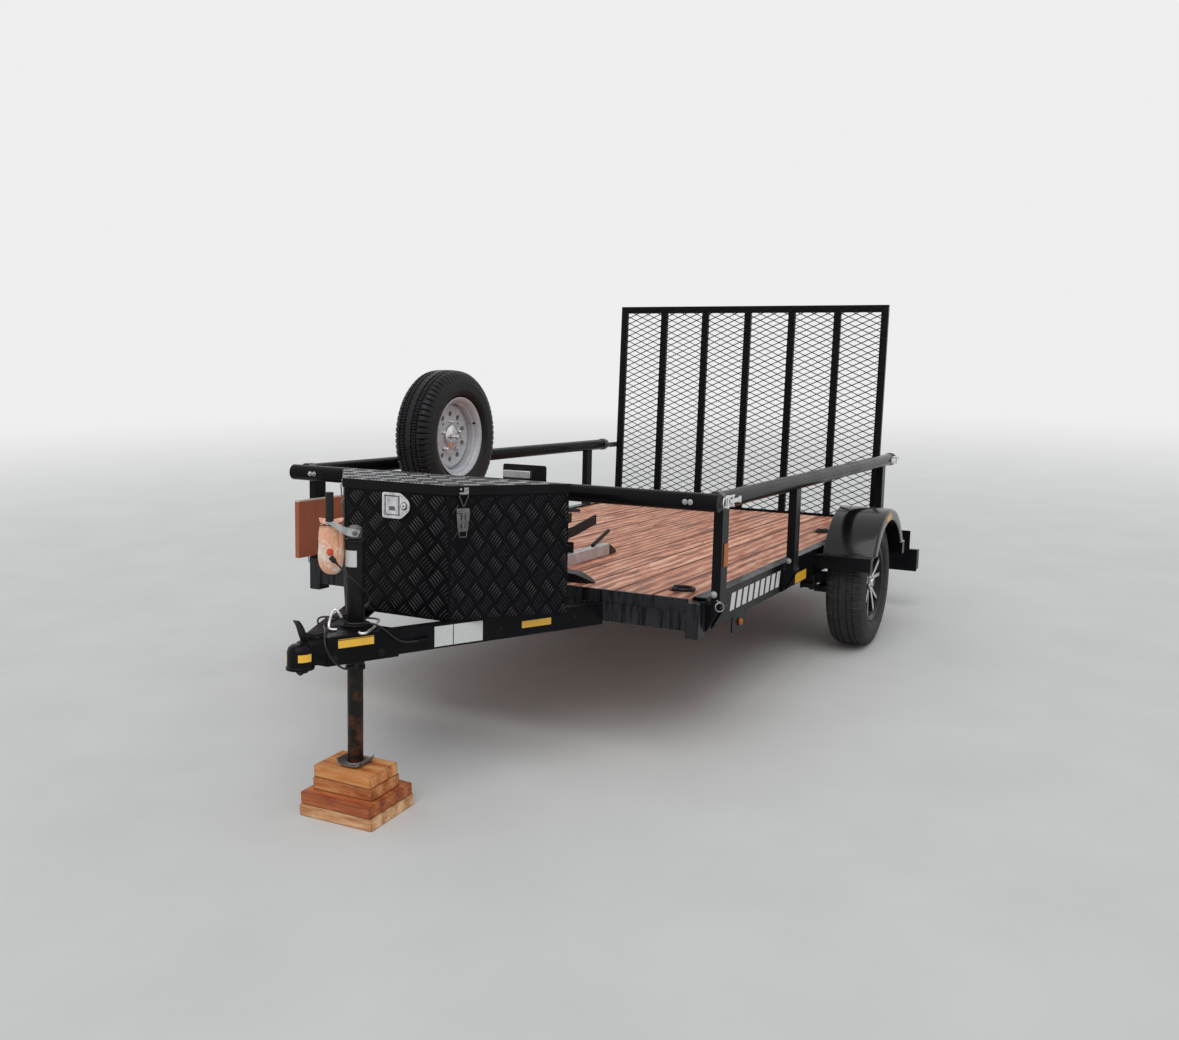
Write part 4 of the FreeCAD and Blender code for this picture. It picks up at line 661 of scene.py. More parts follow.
# Tyres and wheels, in a frame whose Z runs out along the axle
def tyre(name, node, body, matrix, material, pitches=64, deep=5.0, zig=0.0):
    """A tyre with four grooves, cross slots in its shoulders and fine ribs on its sides."""
    half = [(0, 294.6), (13, 294.6), (14.5, 288), (19.5, 288), (21, 294.2), (38, 293.6), (39.5, 287),
            (44.5, 287), (46, 292.6), (53, 291.6), (60.5, 289.6), (68, 284), (75.5, 276.6), (79.5, 266),
            (83.5, 252.6), (85.2, 243), (86.6, 242), (86.6, 238), (85.6, 237), (87.1, 227), (86.2, 212),
            (87, 210.5), (86.4, 208), (84, 198), (81, 192.6), (74, 187.5), (66, 180), (64.5, 178.5),
            (64.5, 165)]
    profile = [(-a, r) for a, r in reversed(half[1:])] + half
    per = 6
    rings = []
    for number, way in enumerate(turns(pitches * per)):
        in_slot = number % per == 0
        in_sipe = (number % per) in (2, 4)
        ring = []
        for a, r in profile:
            if in_slot and 46 <= abs(a) <= 80 and r > 200:
                r -= deep * min(1, (abs(a) - 44) / 10)
            if number % 3 == 0 and 13 < abs(a) < 40 and r > 290:
                r -= deep * 0.55
            if in_sipe and abs(a) < 13:
                r -= 0.6
            if 12 < abs(a) < 22 or 37 < abs(a) < 47:
                a += zig * (abs(number % per - per / 2) - per / 4)
            ring.append((r * math.cos(way), r * math.sin(way), a))
        rings.append(ring)
    form = Form(matrix)
    form.loft(rings, loop=True)
    form.done(name, "tyre_rubber", material, [node], body, sharp=28)


def alloy(name, node, body, matrix):
    """A black alloy wheel: lip, five split spokes with machined fronts, cap and bolts."""
    form = Form(matrix)
    form.slot = 1
    form.ring([(-64.3, 177), (-73, 177), (-73, 150), (-66, 147), (-40, 132), (30, 138), (50, 146), (58, 152),
               (58, 160), (-60, 152), (-63.5, 162.7), (-64.3, 162.7)], 72)
    form.ring([(56, 150), (62, 152.5), (69, 157), (72.4, 163), (73, 170), (72.6, 176.4), (70, 177),
               (64.6, 177), (64.6, 163), (56, 158)], 96)
    form.ring([(-26, 20), (-26, 44), (40, 46), (50, 48), (55, 45), (55, 20)])
    form.ring([(34, 60), (36, 140), (30, 140), (26, 60)], 72)
    for spoke in range(5):
        for side in (-1, 1):
            rings = []
            for r, width, swing, front in ((34, 9, 9, 53), (62, 8.5, 9.5, 56), (96, 8, 11, 58.5),
                                           (128, 8.5, 13, 61), (154, 10.5, 14.5, 63)):
                out = polar(1, 72 * spoke + side * swing)
                across = Vector((-out.y, out.x, 0)) * side
                section = ((-width, front), (width, front - 1), (width + 3, front - 9),
                           (width + 2, front - 24), (-width - 2, front - 24), (-width - 3, front - 8))
                rings.append([out * r + across * w + Vector((0, 0, z)) for w, z in section])
            form.loft(rings)
    form.bm.normal_update()
    axis = matrix.to_3x3() @ Vector((0, 0, 1))
    for face in form.bm.faces:
        out = matrix.inverted() @ face.calc_center_median()
        if abs(face.normal.dot(axis)) > 0.965 and 36 < math.hypot(out.x, out.y) < 153 and out.z > 45:
            face.material_index = 0
    form.slot = 2
    for number in range(5):
        spot = polar(30, 72 * number + 36, 49)
        form.lathe([(0, 9), (10, 8.6), (13, 6), (14, 2)], around(spot, (0, 0, 1)), 6)
    form.lathe([(40, 23), (62, 22.5), (68, 20), (70.5, 15), (71.5, 6)], sides=40)
    form.slot = 1
    form.lathe([(70.6, 12), (72.3, 11.5), (72.6, 9)], sides=30)
    form.done(name, "alloy", [MACHINED, POCKET, CHROME], [node], body, bevel=1.0, sharp=30)


for side, sign in (("left", 1), ("right", -1)):
    hub = around((WHEEL_X * sign, AXLE_Y, TYRE_R), (sign, 0, 0), WHEEL_TURN)
    tyre("tread_" + side, "tyre_" + side, "wheel_" + side, hub, TYRE)
    alloy("alloy_" + side, "wheel_" + side, "wheel_" + side, hub)
SPARE = around((SPARE_X, SPARE_Y, SPARE_Z), (1, 0, 0))
tyre("spare_tread", "spare_tyre", "trailer", SPARE, SPARE_RUBBER, pitches=70, deep=9, zig=1.3)


def spare_rim():
    """A silver steel wheel: stepped barrel, a dished disc with a ring of round holes, cap and lug nuts."""
    form = Form(SPARE)
    form.ring([(-64.3, 163), (-73, 166), (-73, 177), (-64.3, 177)], 96)
    form.ring([(-64.3, 162.7), (-58, 156), (-30, 146), (20, 146), (42, 148), (48, 154.5), (56, 155.5),
               (61, 159), (66, 161.5), (69.5, 167), (72.6, 171.5), (72.6, 176.6), (67.5, 177), (66.8, 172),
               (65.2, 165.5), (58, 162.4), (48, 160), (42, 154), (20, 150), (-30, 150), (-56, 162.7)], 96)
    form.ring([(4, 146), (16, 143), (22, 136), (24, 128), (21, 124), (16, 124), (16, 128), (10, 136),
               (4, 142)], 96)
    form.ring([(18, 30), (21, 50), (21, 76), (18, 80), (12, 80), (12, 30)], 80)
    holes, radius, middle, reach, per = 10, 12.5, 102, 24, 24

    def high(point):
        away = math.hypot(*point)
        return 17 + 4.0 * max(0, (away - middle) / reach) + (2 if away < 84 else 0)

    rim_in, rim_out = [], []
    for way in turns(per):
        out, across = math.cos(way), math.sin(way)
        rim_in.append((middle + radius * out, radius * across))
        far = max(abs(out), abs(across))
        r = middle + reach * out / far
        swing = math.pi / holes * across / far
        rim_out.append((r * math.cos(swing), r * math.sin(swing)))
    verts = [(*p, high(p)) for p in rim_out] + [(*p, high(p) + 0.8) for p in rim_in]
    verts += [(*p, 4) for p in rim_in] + [(*p, high(p) - 6) for p in rim_out]
    faces = []
    for step in range(per):
        after = (step + 1) % per
        for low in (0, per, 2 * per):
            faces.append((low + step, low + after, low + per + after, low + per + step))
    for number in range(holes):
        form.add(verts, faces, Matrix.Rotation(2 * math.pi * (number + 0.5) / holes, 4, "Z"))
    # Slot 2 here: a thin black ring just behind the disc's holes, painted shade seen through them.
    form.slot = 2
    form.ring([(3.4, 88), (4.4, 88), (4.4, 118), (3.4, 118)], 80)
    form.slot = 1
    form.lathe([(18, 54), (24, 53.5), (30, 51), (33, 46), (35, 40), (36.5, 22), (37, 6)], sides=56)
    for number in range(5):
        form.lathe([(0, 11), (3, 11), (5, 9), (12, 9), (15, 6), (16, 2)],
                   around(polar(66, 72 * number + 18, 20), (0, 0, 1)), 6)
    form.lathe([(36, 6), (84, 6), (85, 4.5)], sides=18)
    form.lathe([(52, 13), (60, 13), (62, 11)], sides=6)
    for sign in (-1, 1):
        form.rod((sign * 9, 0, 58), (sign * 26, 0, 68), 5, 14, 1.5)
    form.slot = 2
    valve = around((128, 52, -12), (0.25, 0.1, 1))
    form.lathe([(40, 3), (62, 3.4), (63, 4.6), (72, 4.6), (73, 3)], valve, 14)
    form.done("spare_wheel", "silver_steel", [SILVER_PAINT, CHROME, GRIP], ["spare_rim"], sharp=32)


spare_rim()


# Fenders: an arch with a rolled outer edge, a hanging side and bolted flanges
def fenders():
    """Both fenders, their bolts and their stickers, each made once and mirrored."""
    form = Form()
    inner, outer, radius, skin, skirt = 850, 1079.4, 335, 3, 55
    centre_y, centre_z, flange_z = AXLE_Y + 15, 302, 449
    roll = 15
    profile = [(inner, radius - 10), (inner + 0.5, radius - 2), (inner + 3, radius)]
    for step in range(7):
        way = math.radians(90 - 15 * step)
        profile.append((outer - roll + roll * math.cos(way), radius - roll + roll * math.sin(way)))
    brim = radius - skirt
    profile += [(outer, radius - 34), (outer, brim + 7), (outer - 1.5, brim + 3), (outer - 5, brim + 2),
                (outer - 5, brim + 5), (outer - 3.2, brim + 8), (outer - 3.2, radius - 34)]
    for step in range(6, -1, -1):
        way = math.radians(90 - 15 * step)
        r = roll - skin
        profile.append((outer - roll + r * math.cos(way), radius - roll + r * math.sin(way)))
    profile += [(inner + 3, radius - skin), (inner + 3, radius - 10)]
    steps = 60
    rings = []
    for step in range(steps + 1):
        ring = []
        for x, r in profile:
            low = math.asin((flange_z + 1 - centre_z) / r)
            way = low + (math.pi - 2 * low) * step / steps
            ring.append((x, centre_y - r * math.cos(way), centre_z + r * math.sin(way)))
        rings.append(ring)
    form.loft(rings)
    chord = math.sqrt(radius ** 2 - (flange_z - centre_z) ** 2)
    for sign in (-1, 1):
        edge = centre_y + sign * (chord - 4)
        far = centre_y + sign * (chord + 49)
        outline = [(inner, edge), (outer - 1, edge), (outer - 1, far - sign * 16),
                   (outer - 5, far - sign * 5), (outer - 16, far), (inner, far)]
        form.prism(outline, flange_z, flange_z + skin)
        form.box((inner, outer - 16), sorted((far - sign * 2, far)), (flange_z - 12, flange_z + 1))
    form.mirror()
    form.done("fender_pair", "fender_paint", FENDER, ["fenders"], bevel=0.9, sharp=42)
    bolts = Form()
    for sign in (-1, 1):
        for x in (inner + 22, inner + 129):
            bolts.bolt((x, centre_y + sign * (chord + 30), flange_z + skin), (0, 0, 1), 7, 5)
    bolts.mirror()
    bolts.done("fender_bolts", "black_steel", LEG_BLACK)
    sticker = Form()
    patch = []
    for r, ways in ((316, (89, 81, 73)), (290, (73, 81, 89))):
        patch += [(centre_y - r * math.cos(math.radians(way)), centre_z + r * math.sin(math.radians(way)))
                  for way in ways]
    sticker.prism(patch, outer - 0.1, outer + 0.5, UPRIGHT)
    sticker.mirror()
    sticker.done("fender_stickers", "lamp_plastic", STICKER)


fenders()


# Gate: expanded metal on the deck side of the bars
def expanded_mesh():
    """Rows of zigzag strands that touch where they meet."""
    form = Form(shifted(0, GATE_Y, PIN_Z) @ rotated(GATE_LEAN, "X"))
    half, low, high = 786, 26, 1190
    long, short, w = 77, 35, 2.6
    rows = int((high - low + 6) / (short / 2))
    columns = int(2 * half / (long / 2))
    start = -columns * long / 4
    for row in range(rows):
        rings = []
        for column in range(columns + 1):
            sign = 1 if (row + column) % 2 else -1
            x = start + column * long / 2
            z = low + (row + 0.5) * (high - low) / rows + sign * short / 4
            near, far = (-2.3, -0.2) if sign > 0 else (-4.2, -2.1)
            rings.append([(x, near, z + w), (x, far, z + w * 0.6), (x, far + 0.1, z - w),
                          (x, near + 0.1, z - w * 0.6)])
        form.loft(rings)
    form.done("gate_mesh", "black_steel", MESH_BLACK, ["gate_mesh_rising", "gate_mesh_falling"], "gate",
              sharp=20)


expanded_mesh()


# Tool box: raised five-bar pattern on its sides, back and lid
def stroke(form, centre, along, matrix, low, high, width):
    """A tapered bar from low to high along its direction."""
    rise = 1.8
    side = Vector((-along.y, along.x))
    taper = min(7.0, (high - low) / 3)
    points = [(low, 0), (low + taper, width), (high - taper, width), (high, 0), (high - taper, -width),
              (low + taper, -width)]
    verts = [(*(centre + along * a + side * w), 0.0) for a, w in points]
    verts += [(*(centre + along * a), rise) for a in (low + taper * 0.9, high - taper * 0.9)]
    faces = [(5, 4, 3, 2, 1, 0), (1, 2, 7, 6), (4, 5, 6, 7), (0, 1, 6), (5, 0, 6), (2, 3, 7), (3, 4, 7)]
    form.add(verts, faces, matrix)


def tread(form, outline, matrix, gap=3.0, keep_out=(), shape=(1.0, 1.05), width=2.9, painted_reflection_groups=False):
    """Fills a convex outline with groups of five bars, each group crossing the next; shape stretches them."""
    cell, length, pitch, shortest = 55.0, 42.0, 10.2, 7
    corners = [Vector((x / shape[0], y / shape[1])) for x, y in outline]
    keep_out = [(a / shape[0], b / shape[0], c / shape[1], d / shape[1]) for a, b, c, d in keep_out]
    matrix = matrix @ Matrix.Diagonal((*shape, 1, 1))
    pairs = list(zip(corners, corners[1:] + corners[:1]))
    area = sum(a.cross(b) for a, b in pairs)
    sides = []
    for a, b in pairs:
        way = (b - a).normalized()
        inward = Vector((-way.y, way.x)) * (1 if area > 0 else -1)
        sides.append((a + inward * gap, inward))
    first = Vector((1, 1)).normalized()
    second = Vector((-1, 1)).normalized()
    reach = int(max(c.length for c in corners) / cell) + 3
    for i in range(-reach, reach + 1):
        for j in range(-reach, reach + 1):
            middle = (first * i + second * j) * cell
            along, across = (first, second) if (i + j) % 2 else (second, first)
            # On the lid, groups lying one way take slot 0 and the others slot 1: painted reflection on one
            # direction, darker bars on the other.
            form.slot = (i + j) % 2 if painted_reflection_groups else 0
            for number in range(5):
                centre = middle + across * (number - 2) * pitch
                low, high = -length / 2, length / 2
                for base, inward in sides:
                    depth = (centre - base).dot(inward)
                    rate = along.dot(inward)
                    if abs(rate) < 1e-6:
                        if depth < 0:
                            high = low
                    elif rate > 0:
                        low = max(low, -depth / rate)
                    else:
                        high = min(high, -depth / rate)
                blocked = any(a <= centre.x <= b and c <= centre.y <= d for a, b, c, d in keep_out)
                if high - low > shortest and not blocked:
                    stroke(form, centre, along, matrix, low, high, width)


# Heights on the box, and how far the latches stand from its front corners
LID_LOW, MIDDLE_Z, LOCK_Z, LATCH_Z, LATCH_IN = BOX_TOP - 26, 640, 779, 655, 42
box_tread = Form()
low_z, high_z, back_z = CHANNEL_TOP - MIDDLE_Z, LID_LOW - MIDDLE_Z - 1, BOX_TOP - MIDDLE_Z - 24
slant = math.hypot(BOX_B - BOX_F, BOX_BACK - BOX_FRONT)
tread(box_tread, [(-BOX_F, low_z), (BOX_F, low_z), (BOX_F, high_z), (-BOX_F, high_z)],
      wall((0, BOX_FRONT, MIDDLE_Z), (1, 0, 0)),
      keep_out=[(-58, 64, LOCK_Z - 45 - MIDDLE_Z, LOCK_Z + 45 - MIDDLE_Z)])
SIDE_FACES = {1: wall((BOX_F, BOX_FRONT, MIDDLE_Z), (BOX_B - BOX_F, BOX_BACK - BOX_FRONT, 0)),
              -1: wall((-BOX_B, BOX_BACK, MIDDLE_Z), (BOX_B - BOX_F, BOX_FRONT - BOX_BACK, 0))}
LATCHES = {1: LATCH_IN, -1: slant - LATCH_IN}
for side, face in SIDE_FACES.items():
    tread(box_tread, [(0, low_z), (slant, low_z), (slant, high_z), (0, high_z)], face, shape=(0.77, 1.06),
          keep_out=[(LATCHES[side] - 22, LATCHES[side] + 22, LATCH_Z - MIDDLE_Z, high_z)])
tread(box_tread, [(-BOX_B, low_z), (BOX_B, low_z), (BOX_B, back_z), (-BOX_B, back_z)],
      wall((0, BOX_BACK, MIDDLE_Z), (-1, 0, 0)))
box_tread.done("box_tread", "black_plate", HIGHLIGHT_PAINTED_BARS, sharp=60)

# Lid: bars alternate by group between painted reflection and darker bars.
lid_tread = Form()
LID_Y = -410
front_y, back_y = BOX_FRONT - LID_Y - 6, BOX_BACK - LID_Y - 4
tread(lid_tread, [(-BOX_F - 6, front_y), (BOX_F + 6, front_y), (BOX_B + 6, back_y), (-BOX_B - 6, back_y)],
      shifted(0, LID_Y, BOX_TOP + 3.3), gap=4, width=4.4, shape=(1.0, 1.0), painted_reflection_groups=True,
      keep_out=[(*both(side, 135, 225), back_y - 8, back_y + 14) for side in (-1, 1)])
lid_tread.done("lid_tread", "black_plate", [LID_BARS_PAINTED_REFLECTION, HIGHLIGHT_PAINTED_BARS], body="tool_box_lid", sharp=60)


def rounded(outline, reach, steps=5):
    """An outline with its corners eased by a curve that starts at reach from each."""
    points = []
    for number in range(len(outline)):
        corner, before, after = (Vector(outline[i % len(outline)]) for i in (number, number - 1, number + 1))
        start = corner + (before - corner).normalized() * reach
        end = corner + (after - corner).normalized() * reach
        for step in range(steps + 1):
            t = step / steps
            points.append(tuple(start * (1 - t) ** 2 + corner * 2 * t * (1 - t) + end * t ** 2))
    return points


def paddle_lock():
    """A rimmed plate with a paddle in a frame and a round key cylinder."""
    face = wall((4, BOX_FRONT, LOCK_Z), (1, 0, 0))
    key = face @ shifted(28, 0, 0)
    form = Form()
    outer = rounded([(-53, -41), (20, -41), (53, -14), (53, 14), (20, 41), (-53, 41)], 9)
    form.prism(outer, 0, 2.4, face)
    form.rim(outer, [(x * 0.86 - 1, y * 0.82) for x, y in outer], 2.4, 6.6, face)
    form.box((-40, 8), (-28, 28), (2.2, 5.0), face)
    form.rim([(-35, -24), (4, -24), (4, 24), (-35, 24)], [(-30, -19), (-1, -19), (-1, 19), (-30, 19)],
             4.8, 7.0, face)
    form.lathe([(2.2, 10.5), (5.8, 10.2), (6.8, 9), (6.8, 3), (5.2, 2.6)], key, 28)
    # Slot 1: thin dull sheets around the paddle's block, inside its frame and around the key's foot: painted
    # shade of the recess.
    form.slot = 1
    form.box((-44.5, 12), (-31.5, 31.5), (2.3, 2.9), face)
    form.box((-27, -4), (-16, -3), (4.9, 5.3), face)
    form.lathe([(2.3, 13.5), (2.9, 13.5)], key, 28)
    form.done("paddle_lock", "zinc", [CHROME, DULL_ZINC], ["box_locks"], bevel=0.7, sharp=30)
    # A thin black bar on the key's face: painted shade of the keyhole.
    slot = Form()
    slot.box((27.2, 28.8), (-2.6, 2.6), (5.0, 7.1), face)
    slot.done("keyhole_painted_shade", "black_steel", GRIP)


def draw_latches():
    """A draw latch with its loop on each side of the box, and its keeper on the lid."""
    plate = Form()
    keeper = Form()
    for side, face in SIDE_FACES.items():
        spot = face @ shifted(LATCHES[side], -MIDDLE_Z, 0)
        plate.loft([[(-half, z, out), (half, z, out), (half, z, out - 2.2), (-half, z, out - 2.2)]
                    for z, half, out in ((711, 15, 3), (719, 17, 4), (742, 19, 6), (764, 21, 7.5),
                                         (780, 21, 6.5), (784, 19, 5))], spot)
        plate.box((-13, 13), (738, 784), (0, 2), spot)
        plate.slot = 1
        for z, half, out in ((722, 7, 4.6), (748, 8, 6.9)):
            for way in (-1, 1):
                plate.box(both(way, half - 5, half), (z, z + 17), (out, out + 0.8), spot)
        plate.slot = 0
        plate.rod(spot @ Vector((-19, 772, 9)), spot @ Vector((19, 772, 9)), 3.2, 14, 0.5)
        plate.box((-4, 4), (720, 772), (4.5, 9), spot)
        loop = [(0, 790, 9), (-3, 794, 10), (-15, 824, 12.4), (-14, 828, 12.6), (14, 828, 12.6),
                (15, 824, 12.4), (3, 794, 10), (0, 790, 9)]
        ring = [(x, z, 3.5) for x, z in ((-11, 716), (-12, 700), (-10, 694), (10, 694), (12, 700), (11, 716))]
        plate.sweep([spot @ Vector(p) for p in loop], 2.0, 10)
        plate.sweep([spot @ Vector(p) for p in ring], 1.8, 8)
        keeper.box((-17, 17), (829, 849), (6, 7.6), spot)
        keeper.box((-14, 14), (829, 834), (7.4, 13), spot)
        for x in (-8, 8):
            keeper.dome(spot @ Vector((x, 843, 7.4)), spot.to_3x3() @ Vector((0, 0, 1)), 4, 2.6)
    plate.done("draw_latches", "zinc", [DULL_ZINC, GRIP], bevel=0.5)
    keeper.done("latch_keepers", "zinc", ZINC, body="tool_box_lid", bevel=0.5)


paddle_lock()
draw_latches()

# Folds along the box's front corners
folds = Form()
for side in (1, -1):
    x, y = side * BOX_F * 0.994, BOX_FRONT + 1.5
    folds.rod((x, y, CHANNEL_TOP + 1), (x, y, LID_LOW - 2), 3.2, 12)
folds.done("box_folds", "black_plate", PLATE)


# Jack: crank, hub and grip in a frame that faces the near side
CRANK_TURN, CRANK_Z = 38.7, 720
CRANK = shifted(0, JACK_Y, CRANK_Z) @ rotated(CRANK_TURN, "Z")
crank = Form(CRANK)
crank.slot = 1
crank.lathe([(0, 15), (3, 17.6), (8, 17.6), (9, 15.5), (11, 15.5), (12, 17), (17, 16), (18, 12)],
            around((0, -24.3, 0), (0, -1, 0)), 36)
crank.lathe([(0, 8.5), (5.5, 8.5), (7, 6.5)], around((0, -45, 0), (0, -1, 0)), 6)
crank.slot = 0
sections = []
lean = Vector((0.42, 0, 0.9))
for x, z, tall, thick in ((12, -3, 11, 3.5), (-4, 0, 12.5, 4), (-20, 3, 11.5, 4), (-36, 10, 9.5, 4),
                          (-50, 19, 8.5, 4), (-62, 27, 8, 4), (-72, 33, 7.5, 4), (-80, 35, 6, 3.5)):
    middle = Vector((x, -41.5, z))
    sections.append([middle + lean * tall * rise + Vector((0, deep * thick, 0))
                     for rise, deep in ((1, -1), (-1, -1), (-1, 1), (1, 1))])
crank.loft(sections)
GRIP_X, GRIP_Y = -73, -40.4
crank.lathe([(0, 7), (90, 7)], around((GRIP_X, GRIP_Y, 32), (0, 0, 1)), 20)
crank.done("crank_arm_piece", "zinc", [ZINC, DULL_ZINC], ["jack_crank"], bevel=1.4, steps=3)
grip = Form(CRANK)
grip_profile = [(0, 9.6), (1.5, 12), (5, 12.4), (7, 11)]
for step in range(11):
    grip_profile += [(9 + step * 6.4, 11.4), (11 + step * 6.4, 12.3), (13.4 + step * 6.4, 12.3)]
grip_profile += [(81, 11.4), (83, 12.5), (86.5, 12.3), (88, 9)]
grip.lathe(grip_profile, around((GRIP_X, GRIP_Y, 34), (0, 0, 1)), 32)
grip.done("crank_grip_piece", "cord_black", GRIP, bevel=0.4)


def jack():
    """The round tube with its flange, the geared head above it and the leg on a pressed foot."""
    base = shifted(0, JACK_Y, 0)
    tube = Form(base)
    flange, low, top, radius, bore = COUPLER_TOP + 6, 295, 690, 28, 25.2
    tube.ring([(low, bore), (low, 27.4), (low + 1, radius), (top, radius), (top, bore)])
    tube.ring([(low + up, r) for up, r in ((1, 28.1), (1, 30), (7, 30.5), (13, 30), (15, 28.1))])
    tube.ring([(COUPLER_TOP + 0.3, 28.2), (COUPLER_TOP + 0.3, 47), (flange - 1, 47), (flange, 45.5),
               (flange, 31), (flange + 4, 28.2)])
    tube.ring([(688, 24.4), (688, 31), (694, 31.4), (697, 30), (698, 20), (698, 4), (690, 4), (690, 24.4)])
    for way in (20, 140, 260):
        tube.bolt(polar(39, way, flange), (0, 0, 1), 6, 4)
    tube.slot = 1
    tube.lathe([(698.5, 22), (706, 23.4), (724, 22.6), (733, 18), (738, 9)], sides=48)
    tube.done("jack_casing", "leg_paint", [LEG_BLACK, DULL_ZINC], ["jack_tube"], bevel=0.6, sharp=40)
    leg = Form(base)
    leg.ring([(2, 20), (2, 23), (4, 24), (426, 24), (428, 23), (428, 20)])
    leg.slot = 1
    rows = []
    for x, z in ((-46, 16), (-42, 8), (-34, 2), (-22, 0.4), (22, 0.4), (34, 2), (42, 8), (46, 16)):
        wide = 44 - 0.004 * x * x
        lower = [(x, way * wide, z + up) for way, up in ((-1, 6), (-0.8, 1.5), (0.8, 1.5), (1, 6))]
        upper = [(x * 0.93, way * wide, z + up)
                 for way, up in ((0.97, 8.6), (0.76, 4.6), (-0.76, 4.6), (-0.97, 8.6))]
        rows.append(lower + upper)
    tilt = shifted(0, 0, -4.6) @ Matrix.Rotation(NOSE_UP, 4, "X")
    leg.loft(rows, tilt)
    leg.ring([(2, 30), (8, 28), (12, 25.2), (2, 25.2)], 40, tilt)
    leg.done("jack_leg_piece", "leg_paint", [RUSTY, PRESSED], ["jack_leg"], "jack_leg", bevel=0.6, sharp=40)


jack()
label = Form()
rings = [[polar(r, 8 * step - 136.3, z) + Vector((0, JACK_Y, 0))
          for r, z in ((28.05, 614), (28.5, 614), (28.5, 664), (28.05, 664))] for step in range(13)]
label.loft(rings)
label.done("jack_label", "soft_wrap", LABEL)


# The bag over the plug: gathered at its tie, with ears above it
BAG_X, BAG_Y = -54.7, -808.8


def plug_bag():
    """The bag, the tie around its neck and a red tear on its front."""
    base = shifted(BAG_X, BAG_Y, 0) @ rotated(CRANK_TURN, "Z")
    form = Form(base)
    rings = []
    shape = ((588.5, 8, 7, 3), (591, 17, 13, 3), (597, 25, 18, 2), (606, 31, 22, 1), (620, 35.5, 25, 0),
             (638, 38, 26.5, 0), (656, 38.5, 27, 0), (676, 38.5, 27, 0), (696, 38, 27, 0), (712, 37.5, 26, 0),
             (724, 36, 24, 0), (734, 33.5, 21, 0), (741, 32, 18.5, 0), (747, 33.5, 18, 0), (753, 36, 17, 0),
             (759, 38, 14, 0), (763, 37.5, 9, 0))
    for level, (z, wide, deep, lean) in enumerate(shape):
        ring = []
        for way in turns(72):
            crease = 0.035 * math.sin(6 * way + level * 0.35) + 0.03 * math.sin(13 * way - level * 0.5)
            rough = noise.noise(Vector((math.cos(way) * 2.2, math.sin(way) * 2.2, z * 0.035))) * 0.2
            gathered = 2.2 if z > 728 else 1.0
            scale = min(0.955 + crease * gathered + rough, 1.04)
            drop = 4 * noise.noise(Vector((way, z * 0.02, 4.0))) * (0 if z > 745 or z < 600 else 1)
            dip = max(0, z - 738) * 0.75 * math.sin(way) ** 2
            ring.append((lean + wide * scale * math.cos(way), deep * scale * math.sin(way), z + drop - dip))
        rings.append(ring)
    form.loft(rings)
    bag = form.done("bag_over_plug", "soft_wrap", BAG, ["plug_bag"], sharp=180)
    smooth = bag.modifiers.new("soft", "SUBSURF")
    smooth.levels = smooth.render_levels = 1
    tie = Form(base)
    for high, slope, lean in ((742, 0.16, 0), (738, -0.2, 1)):
        tie.sweep([(34.5 * math.cos(a), 21 * math.sin(a) - lean, high + slope * 34 * math.cos(a))
                   for a in turns(40, 1)], 1.1, 8)
    tie.done("bag_tie", "cord_black", GRIP)
    tear = Form(base)
    rings = []
    for z, inset in ((652, 2.5), (656, 1), (664, 0.5), (669, 3)):
        row = [Vector((x, -27.3 * math.sqrt(1 - (x / 39) ** 2) - 0.4, z + 1.5 * math.sin(x)))
               for x in (-13 + inset, -8, -3, 2, 7 - inset)]
        rings.append(row + [v + Vector((0, 1.6, 0)) for v in reversed(row)])
    tear.loft(rings)
    tear.done("bag_tear", "soft_wrap", BAG_RED)


s = Shader("thin_bag", Subsurface_Weight=0.12)
s.bsdf.inputs["Subsurface Radius"].default_value = (0.01, 0.005, 0.003)
fold_shade = s.noise(26, 4, 0.6, distort=0.8)
big = s.noise(11, 3, 0.6, distort=1.2)
tint = s.ramp(big, (0.3, (0.88, 0.74, 0.64)), (0.42, (0.86, 0.5, 0.33)), (0.55, (0.85, 0.42, 0.24)),
              (0.68, (0.88, 0.66, 0.52)))
# Painted shade: darker red-orange in patches from the fold noise, for shade in the bag's folds.
tint = s.mix(s.span(fold_shade, 0.56, 0.68, 0, 0.7), tint, (0.7, 0.2, 0.08))
# Painted highlight: pale pinkish-white patches over the tint.
tint = s.mix(s.span(s.noise(44, 4, 0.65, distort=1.0), 0.54, 0.64, 0, 0.55), tint, (0.95, 0.84, 0.78))
crinkle = s.bump(s.noise(70, 5, 0.7, distort=1.5), 0.8, 0.004)
BAG = s.set(Base_Color=tint, Roughness=s.span(fold_shade, 0.3, 0.7, 0.25, 0.5), Normal=crinkle).mat
plug_bag()


# Blocks under the jack foot, level on the floor
def block_stack():
    """Four boards in two sizes, each turned a little."""
    foot = PARK @ Vector((0, JACK_Y, -5)) * 1000
    form = Form()
    thick, gap = 38, 0.4
    boards = ((275, 222, 1.5, 0.4), (275, 222, 5, -0.9), (227, 143, 1.5, 0.6), (227, 143, 4, -1.2))
    for level, (wide, deep, inset, skew) in enumerate(boards):
        form.slot = level
        form.tone = 0.2 * level
        top = (level + 1) * thick - (gap if level < 3 else 0.0)
        form.box((-wide / 2 + inset, wide / 2 - inset), (-deep / 2 + inset, deep / 2 - inset),
                 (level * thick, top), shifted(foot.x, foot.y, 0) @ rotated(skew, "Z"), (6, 4, 1))
    for v in form.bm.verts:
        v.co = v.co / 1000
    form.done("foot_blocks", "block_wood", BLOCK_WOODS, ["block_stack"], "jack_leg", bevel=3, steps=3,
              world=True)


block_stack()

